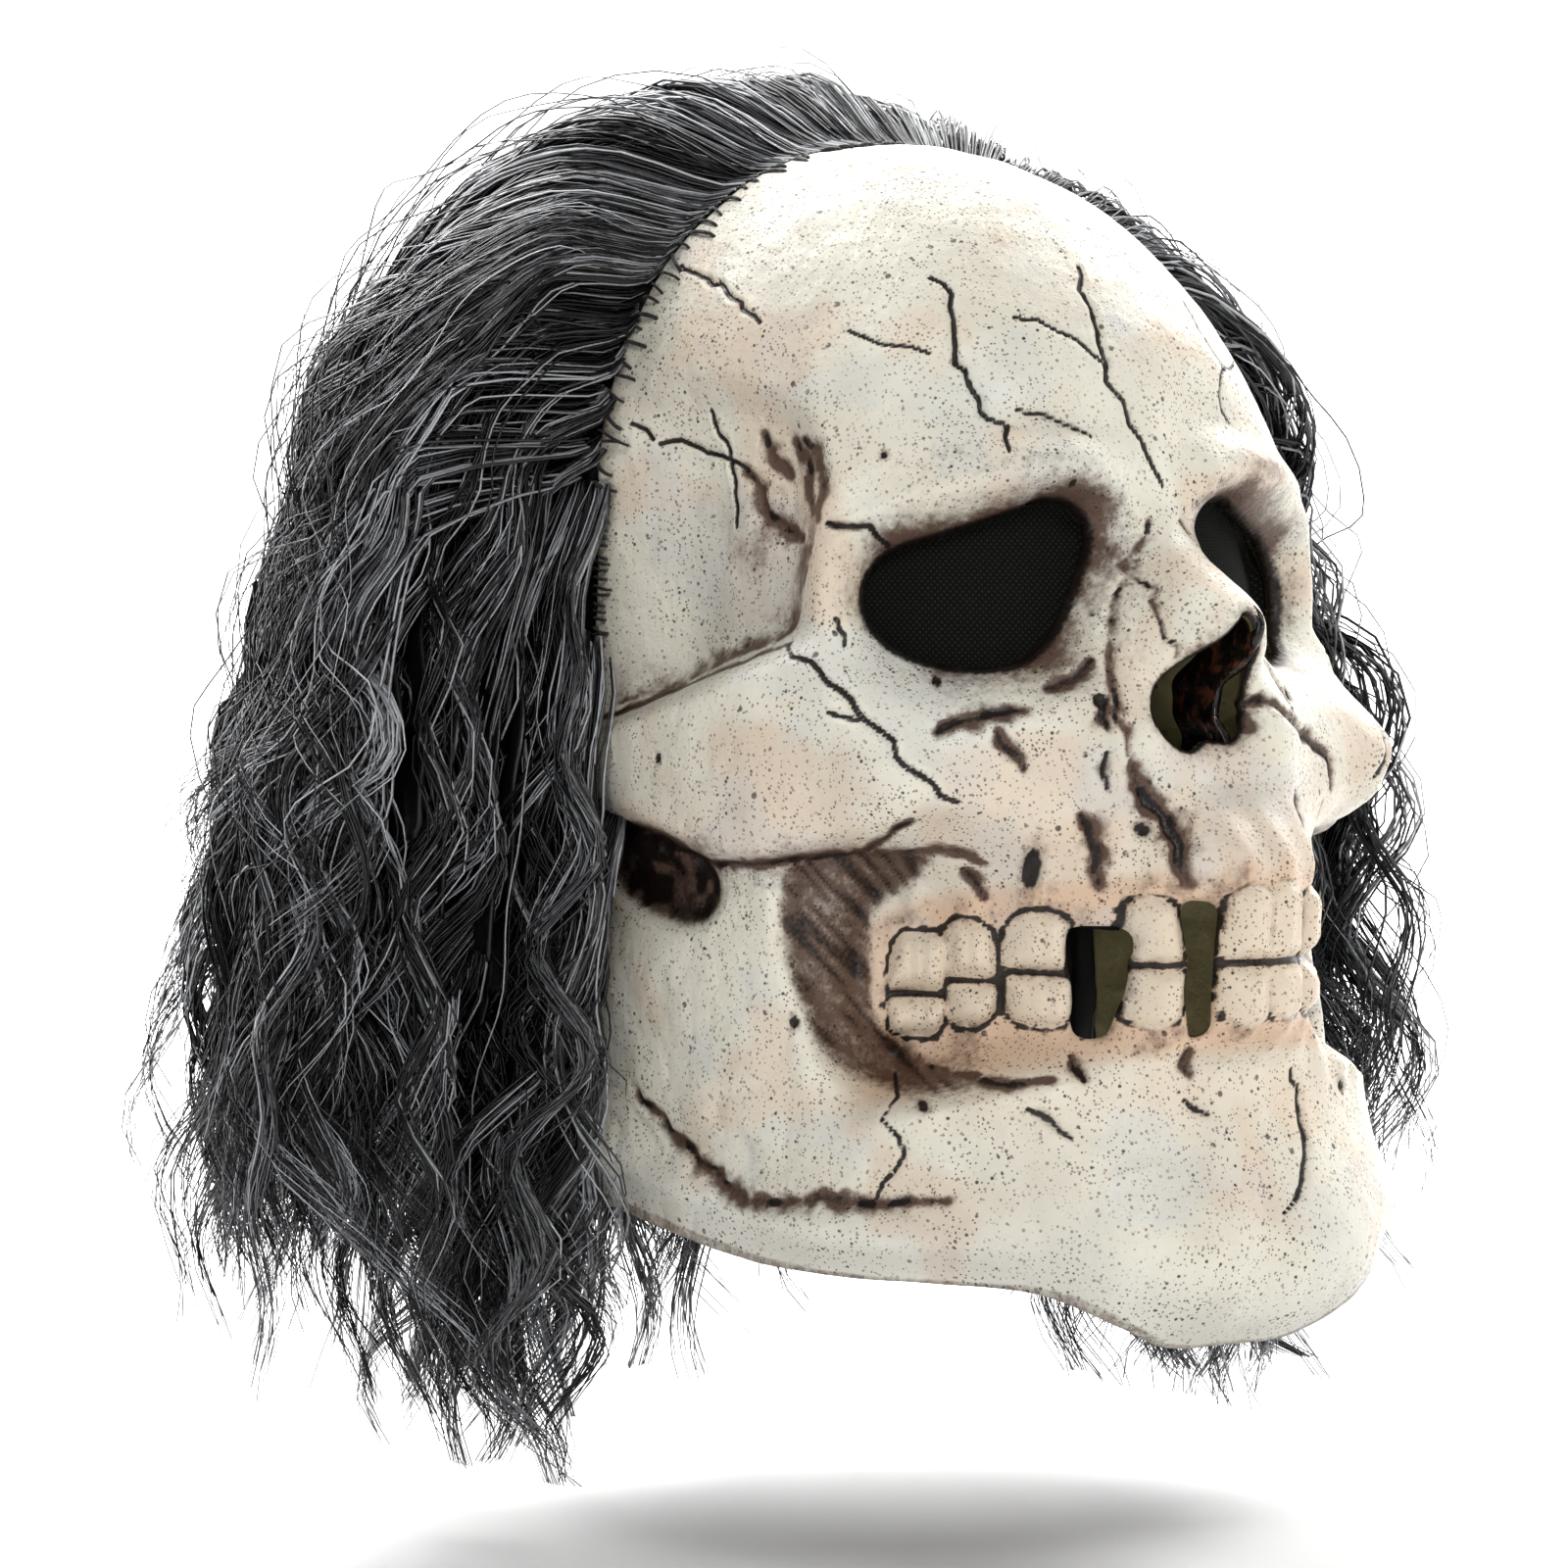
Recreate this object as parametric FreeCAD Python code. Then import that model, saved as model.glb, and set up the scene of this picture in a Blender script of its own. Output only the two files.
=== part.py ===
"""Latex skull mask with a sewn-in wig, worn over the head.

Millimetres, +Z up. The origin is the middle of the wearer's head at eye level. The face looks along -Y,
the wearer's right side is -X. The latex covers the face from the crown to the chin; behind its rear edge a
stretch cap carries rows of machine-sewn hair, each row hanging over the one below it.
"""

import FreeCAD
import Part
import math
import os

# ---- driving dimensions -------------------------------------------------------------------------------
LATEX_WALL = 2.0          # thickness of the cast latex
SEAM_Y = 48.0             # coronal plane in which the latex ends and the cap begins
DOME_Z = 20.0             # height at which the side walls turn into the forehead dome
SEAM_HALF_WIDTH = 80.0    # half width of the latex at the seam
SEAM_HEIGHT = 83.0        # height of the seam's arch above DOME_Z
FACE_DEPTH = 108.0        # from the seam plane to the brow, on the middle line
JAW_REAR = 72.0           # the jaw flaps reach back to this y
RIM_Z = -167.0            # lowest point of the rim, under the chin
JAW_CORNER_Z = -136.0     # rim height at the rear corner of the jaw

EYE_X = 37.0              # eye opening, centre
EYE_Z = -1.0
EYE_HALF_WIDTH = 22.0
EYE_HALF_HEIGHT = 16.0
MESH_WALL = 0.8           # thickness of the mesh fabric
MESH_MARGIN = 5.0         # the mesh is this much bigger than its opening all round
MESH_GAP = 0.4            # glue line between mesh and latex

NOSE_HALF_WIDTH = 15.0    # nasal aperture
NOSE_TOP_Z = -12.0
NOSE_BOTTOM_Z = -39.0

CAP_WALL = 1.0            # stretch fabric
CAP_DEPTH = 100.0         # from the seam plane to the back of the cap
CAP_NAPE_Z = -86.0        # lower edge of the cap
CAP_TUCK = 6.0            # the cap reaches this far forward, inside the latex
CAP_STEP = 0.4            # free space between the cap and the inside of the latex
HEM_HEIGHT = 9.0          # elastic band inside the cap's lower edge
HEM_WALL = 1.6
HEM_GAP = 0.2

TRACK_HEIGHT = 5.0        # sewn head of a hair weft
TRACK_WALL = 1.2
TRACK_GAP = 0.2           # thread between the track and the cap
ROW_GAP = 0.5             # free space between neighbouring rows of hair
HAIR_GAP = 1.2            # free space under the hair
HAIR_FRONT_ANGLE = 80.0   # hair hangs this far round beside the jaw, from the middle of the face
HAIR_BACK_SHARE = 0.7     # hair at the back is this share as thick as at the sides

# Rows of hair from the crown down: where each is sewn on, how thick its hair lies, and where the hair ends.
# The first number runs along the cap in millimetres: above 0 over the dome, below 0 down the wall.
HAIR_ROWS = [(120.0, 8.5, -140.0), (96.0, 9.0, -148.0), (76.0, 9.0, -160.0), (52.0, 8.0, -172.0),
             (28.0, 7.0, -180.0), (4.0, 6.0, -192.0), (-36.0, 5.0, -200.0), (-72.0, 5.0, -208.0)]
DOME_RUN = 130.0          # length of the dome from the wall to the seam's top, along the cap
HAIR_LEVEL = 8.0          # spacing of the levels that shape every row of hair

STITCH_RADIUS = 0.45      # thread
WHIP_LENGTH = 5.0         # long stitches over the crown
WHIP_PITCH = 4.2
OVERLOCK_LENGTH = 2.6     # short dense stitches down each side
OVERLOCK_PITCH = 2.4
STITCH_CLEAR = 0.25       # thread lies this far off the latex
SIDE_STITCH_LOW_Z = -72.0


# ---- small helpers ------------------------------------------------------------------------------------
def clamp(value, low, high):
    return max(low, min(high, value))


def smooth(low, high, value):
    """0 below low, 1 above high, with an S-shaped rise between them."""
    t = clamp((value - low) / (high - low), 0.0, 1.0)
    return t * t * (3.0 - 2.0 * t)


def bell(value, centre, width):
    """1 at the centre, falling off over width."""
    return math.exp(-((value - centre) / width) ** 2)


def through(points, value):
    """A smooth curve through (position, value) pairs in rising order of position."""
    if value <= points[0][0]:
        return points[0][1]
    if value >= points[-1][0]:
        return points[-1][1]
    k = 0
    while points[k + 1][0] < value:
        k += 1
    before = points[max(k - 1, 0)]
    a, b = points[k], points[k + 1]
    after = points[min(k + 2, len(points) - 1)]
    span = b[0] - a[0]
    slope_a = (b[1] - before[1]) / (b[0] - before[0])
    slope_b = (after[1] - a[1]) / (after[0] - a[0])
    t = (value - a[0]) / span
    return ((2 * t ** 3 - 3 * t ** 2 + 1) * a[1] + (t ** 3 - 2 * t ** 2 + t) * span * slope_a
            + (3 * t ** 2 - 2 * t ** 3) * b[1] + (t ** 3 - t ** 2) * span * slope_b)


# ---- the skull's form ---------------------------------------------------------------------------------
# Depth of the face on the middle line, ahead of FACE_DEPTH, by height. The nose and teeth come on top.
FACE_PROFILE = [(-167.0, 26.0), (-160.0, 34.0), (-148.0, 39.0), (-136.0, 38.0), (-110.0, 27.0),
                (-95.0, 27.0), (-75.0, 29.0), (-55.0, 24.0), (-37.0, 16.0), (-18.0, 10.0),
                (0.0, 6.0), (20.0, 0.0)]
# Half width at the seam plane, beyond SEAM_HALF_WIDTH, by height.
SIDE_PROFILE = [(-167.0, 4.0), (-135.0, 6.0), (-90.0, 5.0), (-60.0, 3.0), (-35.0, 3.0), (-10.0, 0.5),
                (20.0, 0.0)]
# Squareness of the cross-section by height: 2 is an ellipse.
SQUARENESS = [(-167.0, 2.2), (-110.0, 2.35), (-60.0, 2.3), (-35.0, 2.4), (0.0, 2.45), (20.0, 2.2)]
# Distance from the dome's centre to its middle line, as a share of the way from front to top.
DOME_PROFILE = [(0.0, 0.0), (12.0, 0.13), (24.0, 0.32), (38.0, 0.56), (55.0, 0.78), (72.0, 0.93), (90.0, 1.0)]
# Height of the rim above RIM_Z as a share of the rise to the jaw corner, by angle from the middle line.
RIM_PROFILE = [(0.0, 0.0), (7.0, 0.02), (12.0, 0.2), (19.0, 0.45), (27.0, 0.5), (36.0, 0.5), (48.0, 0.55),
               (68.0, 0.75), (98.0, 1.0)]
TEETH_FRONT_Y = -98.0     # the dental arch is a parabola: front, and how fast it runs back
TEETH_CURVE = 0.0282


def dental_arch(angle):
    """Distance from the head's axis to the dental arch in the direction of angle (degrees)."""
    s, c = math.sin(math.radians(angle)), math.cos(math.radians(angle))
    depth = SEAM_Y - TEETH_FRONT_Y
    if s < 1e-6:
        return depth
    return (-c + math.sqrt(c * c + 4 * TEETH_CURVE * s * s * depth)) / (2 * TEETH_CURVE * s * s)


def relief(angle, z):
    """Brow, sockets, nose, cheekbones, arches and chin: how far the face stands out from its base form."""
    a = abs(angle)
    out = 5.0 * bell(z, 24.0 - 0.012 * (a - 20.0) ** 2, 9.0) * smooth(52.0, 40.0, a) * smooth(0.0, 9.0, a)
    out += 5.0 * bell(a, 41.0, 5.5) * bell(z, -4.0, 17.0)
    out -= 12.0 * math.exp(-(((a - 22.0) / 13.0) ** 2 + ((z - 0.0) / 17.0) ** 2) ** 2)
    out += (2.0 + 25.0 * smooth(13.0, -8.0, z) * smooth(-46.0, -18.0, z)) * bell(a, 0.0, 6.2) * bell(z, -8.0, 22.0)
    out += 11.0 * bell(a, 7.0, 6.0) * bell(z, -32.0, 13.0)
    out += 10.0 * bell(a, 36.0, 11.0) * bell(z, -36.0, 14.0)
    out += 4.0 * smooth(42.0, 52.0, a) * smooth(-64.0, -56.0, z) * smooth(-14.0, -24.0, z) * smooth(90.0, 74.0, a)
    out -= 6.0 * smooth(46.0, 54.0, a) * smooth(-26.0, -14.0, z) * smooth(62.0, 30.0, z) * smooth(88.0, 66.0, a)
    out -= 6.0 * bell(a, 72.0, 8.0) * bell(z, -66.0, 10.0)
    out += 4.0 * bell(a, 9.0, 8.0) * bell(z, -145.0, 13.0)
    return out


def half_width(z):
    return SEAM_HALF_WIDTH + through(SIDE_PROFILE, z)


def wall_radius(angle, z):
    """Distance from the head's axis to the outside of the latex below DOME_Z."""
    s, c = abs(math.sin(math.radians(angle))), max(math.cos(math.radians(angle)), 0.0)
    n = through(SQUARENESS, z)
    if abs(angle) > 90.0:
        base = half_width(z) / s
    else:
        base = ((s / half_width(z)) ** n + (c / (FACE_DEPTH + through(FACE_PROFILE, z))) ** n) ** (-1 / n)
    mouth = smooth(-104.0, -94.0, z) * smooth(-46.0, -66.0, z) * smooth(47.0, 33.0, abs(angle))
    if mouth > 0.0:
        base += mouth * (dental_arch(abs(angle)) - base)
    return base + relief(angle, z)


def dome_point(p, q, inset):
    """A point of the forehead dome: p runs across, q up, and their circle of radius 1 is the seam."""
    reach = math.hypot(p, q)
    polar = reach * math.pi / 2
    k = math.sin(polar) / reach if reach > 1e-9 else math.pi / 2
    dx, dy, dz = k * p, -math.cos(polar), k * q
    lift = math.degrees(math.atan2(dz, -dy)) if reach > 1e-9 else 0.0
    depth = FACE_DEPTH + (SEAM_HEIGHT - FACE_DEPTH) * through(DOME_PROFILE, lift)
    across, along = abs(dx), math.sqrt(max(0.0, 1.0 - dx * dx))
    n = 2.2 - 0.2 * smooth(0.0, 40.0, lift)
    base = ((across / SEAM_HALF_WIDTH) ** n + (along / depth) ** n) ** (-1 / n)
    angle = math.degrees(math.atan2(dx * base, -dy * base)) if reach > 1e-9 else 0.0
    base += relief(angle, DOME_Z + dz * base) * smooth(80.0, 45.0, lift) - inset
    return FreeCAD.Vector(dx * base, SEAM_Y + dy * base, DOME_Z + dz * base)


def rim_height(angle):
    return RIM_Z + (JAW_CORNER_Z - RIM_Z) * through(RIM_PROFILE, abs(angle))


def rear_angle(z):
    """Angle of the latex's rear edge: in the seam plane above, further back along the jaw."""
    back = (JAW_REAR - SEAM_Y) * smooth(-20.0, -75.0, z)
    return 90.0 + math.degrees(math.atan2(back, half_width(z)))


def shell_grid(inset, columns=64, wall_rows=34, dome_rows=16):
    """Rows of points on the latex, from the rim up to the seam, each row from right to left."""
    rows = []
    for j in range(wall_rows):
        share = j / wall_rows
        row = []
        for i in range(columns + 1):
            u = 2.0 * i / columns - 1.0
            low = rim_height(97.0 * u)
            z = low + (DOME_Z - low) * share
            angle = u * rear_angle(z)
            r = wall_radius(angle, z) - inset
            a = math.radians(angle)
            row.append(FreeCAD.Vector(r * math.sin(a), SEAM_Y - r * math.cos(a), z))
        rows.append(row)
    for j in range(dome_rows + 1):
        b = j / dome_rows
        row = []
        for i in range(columns + 1):
            a = 2.0 * i / columns - 1.0
            row.append(dome_point(a * math.sqrt(1 - b * b / 2), b * math.sqrt(1 - a * a / 2), inset))
        rows.append(row)
    return rows


# ---- solids from grids --------------------------------------------------------------------------------
def spline_face(grid):
    surface = Part.BSplineSurface()
    surface.interpolate(grid)
    return surface.toShape()


def border(face):
    """The four edges of a spline face, in the order of its parameters."""
    surface = face.Surface
    u0, u1, v0, v1 = surface.bounds()
    return [surface.uIso(u0).toShape(), surface.uIso(u1).toShape(),
            surface.vIso(v0).toShape(), surface.vIso(v1).toShape()]


def solid_between(outer, inner):
    """A closed solid between two grids of points of the same size."""
    faces = [spline_face(outer), spline_face(inner)]
    for a, b in zip(border(faces[0]), border(faces[1])):
        faces.append(Part.makeRuledSurface(a, b))
    shell = Part.makeShell(faces)
    shell.sewShape(0.01)
    solid = Part.makeSolid(shell)
    if solid.Volume < 0:
        solid.reverse()
    return solid


def prism_y(points, y_front, y_back):
    """A closed spline outline in x and z, swept along y."""
    curve = Part.BSplineCurve()
    curve.interpolate([FreeCAD.Vector(x, y_front, z) for x, z in points], PeriodicFlag=True)
    face = Part.Face(Part.Wire([curve.toShape()]))
    return face.extrude(FreeCAD.Vector(0, y_back - y_front, 0))


# ---- skull shell --------------------------------------------------------------------------------------
def eye_outline(side, margin=0.0):
    """The eye opening: rounded, higher at its inner end, drooping at its outer end."""
    points = []
    count = 12
    for k in range(count):
        t = 2 * math.pi * k / count
        x = math.cos(t) * (EYE_HALF_WIDTH + margin)
        z = math.sin(t) * (EYE_HALF_HEIGHT + margin) * (1.0 + 0.12 * math.cos(2 * t))
        z -= 0.22 * x
        points.append((side * (EYE_X + x), EYE_Z + z))
    return points


def nose_outline():
    """The nasal aperture: a pear, narrow at the top."""
    middle = (NOSE_TOP_Z + NOSE_BOTTOM_Z) / 2
    tall = (NOSE_TOP_Z - NOSE_BOTTOM_Z) / 2
    return [(0.0, NOSE_TOP_Z), (0.55 * NOSE_HALF_WIDTH, middle + 0.45 * tall),
            (NOSE_HALF_WIDTH, middle - 0.35 * tall), (0.62 * NOSE_HALF_WIDTH, NOSE_BOTTOM_Z),
            (0.0, NOSE_BOTTOM_Z + 2.5),
            (-0.62 * NOSE_HALF_WIDTH, NOSE_BOTTOM_Z), (-NOSE_HALF_WIDTH, middle - 0.35 * tall),
            (-0.55 * NOSE_HALF_WIDTH, middle + 0.45 * tall)]


# Missing teeth: middle angle (minus is the wearer's right), width in degrees, bottom and top.
TOOTH_GAPS = [(-12.7, 5.4, -97.0, -74.0), (-6.3, 4.0, -97.0, -70.0)]


def tooth_gap(angle, width, bottom, top):
    """A slot through the latex where a tooth is missing."""
    near, far = 60.0, 190.0
    corners = []
    for r, a in ((near, angle - width / 2), (far, angle - width / 2), (far, angle + width / 2),
                 (near, angle + width / 2)):
        corners.append(FreeCAD.Vector(r * math.sin(math.radians(a)), SEAM_Y - r * math.cos(math.radians(a)), bottom))
    face = Part.Face(Part.makePolygon(corners + corners[:1]))
    slot = face.extrude(FreeCAD.Vector(0, 0, top - bottom))
    upright = [e for e in slot.Edges if abs(e.tangentAt(e.FirstParameter).z) < 0.5 and e.Length > 50]
    return slot.makeFillet(2.0, upright)


def skull_shell():
    shell = solid_between(shell_grid(0.0), shell_grid(LATEX_WALL))
    cuts = [prism_y(eye_outline(side), -130.0, 0.0) for side in (-1, 1)]
    cuts.append(prism_y(nose_outline(), -130.0, -30.0))
    cuts += [tooth_gap(*gap) for gap in TOOTH_GAPS]
    for cut in cuts:
        shell = shell.cut(cut)
    return shell


# ---- eye mesh -----------------------------------------------------------------------------------------
def eye_mesh(side):
    """Fabric glued behind the opening: a patch of the latex's inside surface, bigger than the opening."""
    inner = LATEX_WALL + MESH_GAP
    sheet = solid_between(shell_grid(inner), shell_grid(inner + MESH_WALL))
    return sheet.common(prism_y(eye_outline(side, MESH_MARGIN), -130.0, 0.0))


# ---- cap ----------------------------------------------------------------------------------------------
# Half width and depth of the cap below the dome, less those at the dome, by height.
CAP_SIDE_PROFILE = [(-90.0, -9.0), (-60.0, -3.0), (-20.0, 0.0), (20.0, 0.0)]
CAP_BACK_PROFILE = [(-90.0, -24.0), (-60.0, -14.0), (-20.0, 0.0), (20.0, 0.0)]
HANG_BACK_PROFILE = [(-210.0, -10.0), (-120.0, -12.0), (-60.0, -8.0), (-20.0, 0.0), (20.0, 0.0)]


def back_dome(p, q, offset, reach_angle=90.0):
    """A point of the back half of the dome. The circle of radius 1 lies reach_angle from straight back."""
    reach = math.hypot(p, q)
    polar = math.radians(reach * reach_angle)
    k = math.sin(polar) / reach if reach > 1e-9 else math.radians(reach_angle)
    dx, dy, dz = k * p, math.cos(polar), k * q
    depth = CAP_DEPTH if dy > 0.0 else 1e4
    r = ((dx / SEAM_HALF_WIDTH) ** 2 + (dy / depth) ** 2 + (dz / SEAM_HEIGHT) ** 2) ** -0.5 + offset
    return FreeCAD.Vector(dx * r, SEAM_Y + dy * r, DOME_Z + dz * r)


def back_wall(angle, z, offset, half, depth):
    """A point of a wall behind the head: angle 0 is straight back, half and depth give the section."""
    s, c = math.sin(math.radians(angle)), math.cos(math.radians(angle))
    depth = depth if c > 0.0 else 1e4
    r = ((s / half) ** 2 + (c / depth) ** 2) ** -0.5 + offset
    return FreeCAD.Vector(r * s, SEAM_Y + r * c, z)


def squircle(a, b):
    return a * math.sqrt(1 - b * b / 2), b * math.sqrt(1 - a * a / 2)


def cap_grid(inset, low_z, high_b, columns=36, wall_rows=12, dome_rows=12):
    """The cap from low_z up; the dome part goes up to high_b, which is 1 at the seam."""
    tuck = math.degrees(CAP_TUCK / SEAM_HALF_WIDTH)
    offset = -LATEX_WALL - CAP_STEP - inset
    rows = []
    for j in range(wall_rows):
        z = low_z + (DOME_Z - low_z) * j / wall_rows
        half = SEAM_HALF_WIDTH + through(CAP_SIDE_PROFILE, z)
        depth = CAP_DEPTH + through(CAP_BACK_PROFILE, z)
        rows.append([back_wall((2.0 * i / columns - 1.0) * (90.0 + tuck), z, offset, half, depth)
                     for i in range(columns + 1)])
    for j in range(dome_rows + 1):
        b = high_b * j / dome_rows
        rows.append([back_dome(*squircle(2.0 * i / columns - 1.0, b), offset, 90.0 + tuck)
                     for i in range(columns + 1)])
    return rows


def cap_hem():
    """The elastic band sewn inside the cap's lower edge."""
    tuck = math.degrees(CAP_TUCK / SEAM_HALF_WIDTH)
    outside = LATEX_WALL + CAP_STEP + CAP_WALL + HEM_GAP
    grids = []
    for inset in (outside, outside + HEM_WALL):
        rows = []
        for j in range(4):
            z = CAP_NAPE_Z + HEM_HEIGHT * j / 3
            half = SEAM_HALF_WIDTH + through(CAP_SIDE_PROFILE, z)
            depth = CAP_DEPTH + through(CAP_BACK_PROFILE, z)
            rows.append([back_wall(i * (90.0 + tuck) / 18, z, -inset, half, depth) for i in range(-18, 19)])
        grids.append(rows)
    return solid_between(*grids)


# ---- hair ---------------------------------------------------------------------------------------------
def hair_point(a, w, offset):
    """A point at offset outside the cap and the latex. a runs from side to side, w along the cap."""
    if w > 0.0:
        return back_dome(*squircle(a, w / DOME_RUN), offset)
    z = DOME_Z + w
    front = 90.0 + (90.0 - HAIR_FRONT_ANGLE) * smooth(5.0, -40.0, z)
    angle = a * front
    half = SEAM_HALF_WIDTH + max(through(SIDE_PROFILE, z), 0.0) + 4.0 * smooth(15.0, -25.0, z)
    depth = CAP_DEPTH + through(HANG_BACK_PROFILE, z)
    return back_wall(angle, z, offset, half, depth)


def thickness_share(a, w):
    """Hair lies thinner at the middle of the back, and full at the sides."""
    return 1.0 - (1.0 - HAIR_BACK_SHARE) * smooth(0.7, 0.0, abs(a)) * smooth(90.0, 20.0, w)


def under(row, w):
    """How thick the rows sewn on below this one lie under it."""
    total = HAIR_GAP
    for top, thick, _ in HAIR_ROWS[row + 1:]:
        total += (thick + ROW_GAP) * smooth(top + 34.0, top + 2.0, w)
    return total


def hair_levels(top, end):
    """The row's end, the shared levels between, and its top."""
    first = math.ceil((end + 1.0) / HAIR_LEVEL)
    last = math.floor((top - 1.0) / HAIR_LEVEL)
    return [end] + [HAIR_LEVEL * k for k in range(first, last + 1)] + [top]


def hair_row(row, columns=40):
    top, thick, end_z = HAIR_ROWS[row]
    end = end_z - DOME_Z
    inner, outer = [], []
    for w in hair_levels(top, end):
        tip = 1.0 - 0.6 * smooth(end + 45.0, end, w)
        root = 1.0 - 0.35 * smooth(top - 14.0, top, w)
        inner_row, outer_row = [], []
        for i in range(columns + 1):
            a = 2.0 * i / columns - 1.0
            share = thickness_share(a, w)
            base = HAIR_GAP + (under(row, w) - HAIR_GAP) * share
            inner_row.append(hair_point(a, w, base))
            outer_row.append(hair_point(a, w, base + thick * tip * root * share))
        inner.append(inner_row)
        outer.append(outer_row)
    return solid_between(outer, inner)


def weft_track(row, columns=32):
    """The sewn head of a row of hair, a narrow band on the cap just above the hair."""
    top = HAIR_ROWS[row][0] + 0.5
    on_cap = TRACK_GAP - LATEX_WALL - CAP_STEP
    grids = []
    for offset in (on_cap + TRACK_WALL, on_cap):
        rows = []
        for j in range(4):
            w = top + TRACK_HEIGHT * j / 3
            row_points = []
            for i in range(columns + 1):
                a = 0.97 * (2.0 * i / columns - 1.0)
                if w > 0.0:
                    row_points.append(back_dome(*squircle(a, w / DOME_RUN), offset))
                else:
                    z = DOME_Z + w
                    half = SEAM_HALF_WIDTH + through(CAP_SIDE_PROFILE, z)
                    depth = CAP_DEPTH + through(CAP_BACK_PROFILE, z)
                    row_points.append(back_wall(a * 90.0, z, offset, half, depth))
            rows.append(row_points)
        grids.append(rows)
    return solid_between(*grids)


# ---- seam stitches ------------------------------------------------------------------------------------
def stitch(x, z, out_x, out_z, length, slant):
    """One thread lying on the latex, from the seam plane forward. out is the direction off the latex."""
    lift = STITCH_RADIUS + STITCH_CLEAR
    start = FreeCAD.Vector(x + out_x * lift, SEAM_Y - STITCH_RADIUS, z + out_z * lift)
    along = FreeCAD.Vector(-out_z * slant, -1.0, out_x * slant)
    along.normalize()
    return Part.makeCylinder(STITCH_RADIUS, length, start, along)


def crown_stitches():
    """Long whip stitches along the seam's arch."""
    count = int(math.pi * (SEAM_HALF_WIDTH + SEAM_HEIGHT) / 2 / WHIP_PITCH)
    stitches = []
    for k in range(1, count):
        t = math.pi * k / count
        x, z = SEAM_HALF_WIDTH * math.cos(t), DOME_Z + SEAM_HEIGHT * math.sin(t)
        out = FreeCAD.Vector(math.cos(t) / SEAM_HALF_WIDTH, 0, math.sin(t) / SEAM_HEIGHT)
        out.normalize()
        slant = 0.35 if k % 3 else -0.2
        stitches.append(stitch(x, z, out.x, out.z, WHIP_LENGTH - 0.4 * (k % 4), slant))
    return Part.makeCompound(stitches)


def side_stitches(side):
    """Short overlock stitches down one side, from the dome to behind the jaw."""
    count = int((DOME_Z - SIDE_STITCH_LOW_Z) / OVERLOCK_PITCH)
    stitches = []
    for k in range(count):
        z = DOME_Z - OVERLOCK_PITCH * (k + 0.5)
        angle = rear_angle(z)
        r = wall_radius(angle, z)
        x = side * r * math.sin(math.radians(angle))
        y = SEAM_Y - r * math.cos(math.radians(angle))
        one = stitch(x, z, side, 0.0, OVERLOCK_LENGTH, 0.15)
        one.translate(FreeCAD.Vector(0, y - SEAM_Y, 0))
        stitches.append(one)
    return Part.makeCompound(stitches)


# ---- all the pieces -----------------------------------------------------------------------------------
def pieces():
    yield "skull_shell", skull_shell()
    yield "eye_mesh_right", eye_mesh(-1)
    yield "eye_mesh_left", eye_mesh(1)
    yield "wig_cap", solid_between(cap_grid(0.0, CAP_NAPE_Z, 1.0), cap_grid(CAP_WALL, CAP_NAPE_Z, 1.0))
    yield "cap_hem_elastic", cap_hem()
    for row in range(len(HAIR_ROWS)):
        yield "weft_track_%d" % (row + 1), weft_track(row)
        yield "hair_row_%d" % (row + 1), hair_row(row)
    yield "seam_stitches_crown", crown_stitches()
    yield "seam_stitches_right", side_stitches(-1)
    yield "seam_stitches_left", side_stitches(1)


os.makedirs("parts", exist_ok=True)
for name, shape in pieces():
    print(name, "solids", len(shape.Solids), "valid", shape.isValid(), "cm3", round(shape.Volume / 1000, 1))
    shape.exportStep("parts/%s.step" % name)
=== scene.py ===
"""Latex skull mask with a wavy wig: the looks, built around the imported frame.

Lengths are worked out in millimetres in the frame's own axes and turned into metres when a mesh is made.
The face looks along -Y, the wearer's right is -X, +Z is up, and the origin is the middle of the head.
"""

import bpy
import math
import numpy as np
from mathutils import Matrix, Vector


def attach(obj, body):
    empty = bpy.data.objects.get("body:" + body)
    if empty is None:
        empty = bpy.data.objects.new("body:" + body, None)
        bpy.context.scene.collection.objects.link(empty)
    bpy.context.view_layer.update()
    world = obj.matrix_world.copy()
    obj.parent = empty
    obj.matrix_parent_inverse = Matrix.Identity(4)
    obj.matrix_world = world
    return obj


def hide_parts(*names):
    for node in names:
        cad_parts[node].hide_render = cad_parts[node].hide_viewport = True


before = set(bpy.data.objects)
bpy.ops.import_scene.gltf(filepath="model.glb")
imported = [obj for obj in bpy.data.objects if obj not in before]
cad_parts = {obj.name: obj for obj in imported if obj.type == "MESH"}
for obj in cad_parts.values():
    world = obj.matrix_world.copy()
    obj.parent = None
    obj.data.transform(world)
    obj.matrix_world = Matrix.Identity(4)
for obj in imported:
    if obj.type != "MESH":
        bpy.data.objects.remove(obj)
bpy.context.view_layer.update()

MM = 0.001
RIGHT, LEFT = -1, 1
TINY = 1e-9                  # keeps a division from failing where a length is 0
FAR = 1e9                    # stands for a distance beyond any on the object

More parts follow.
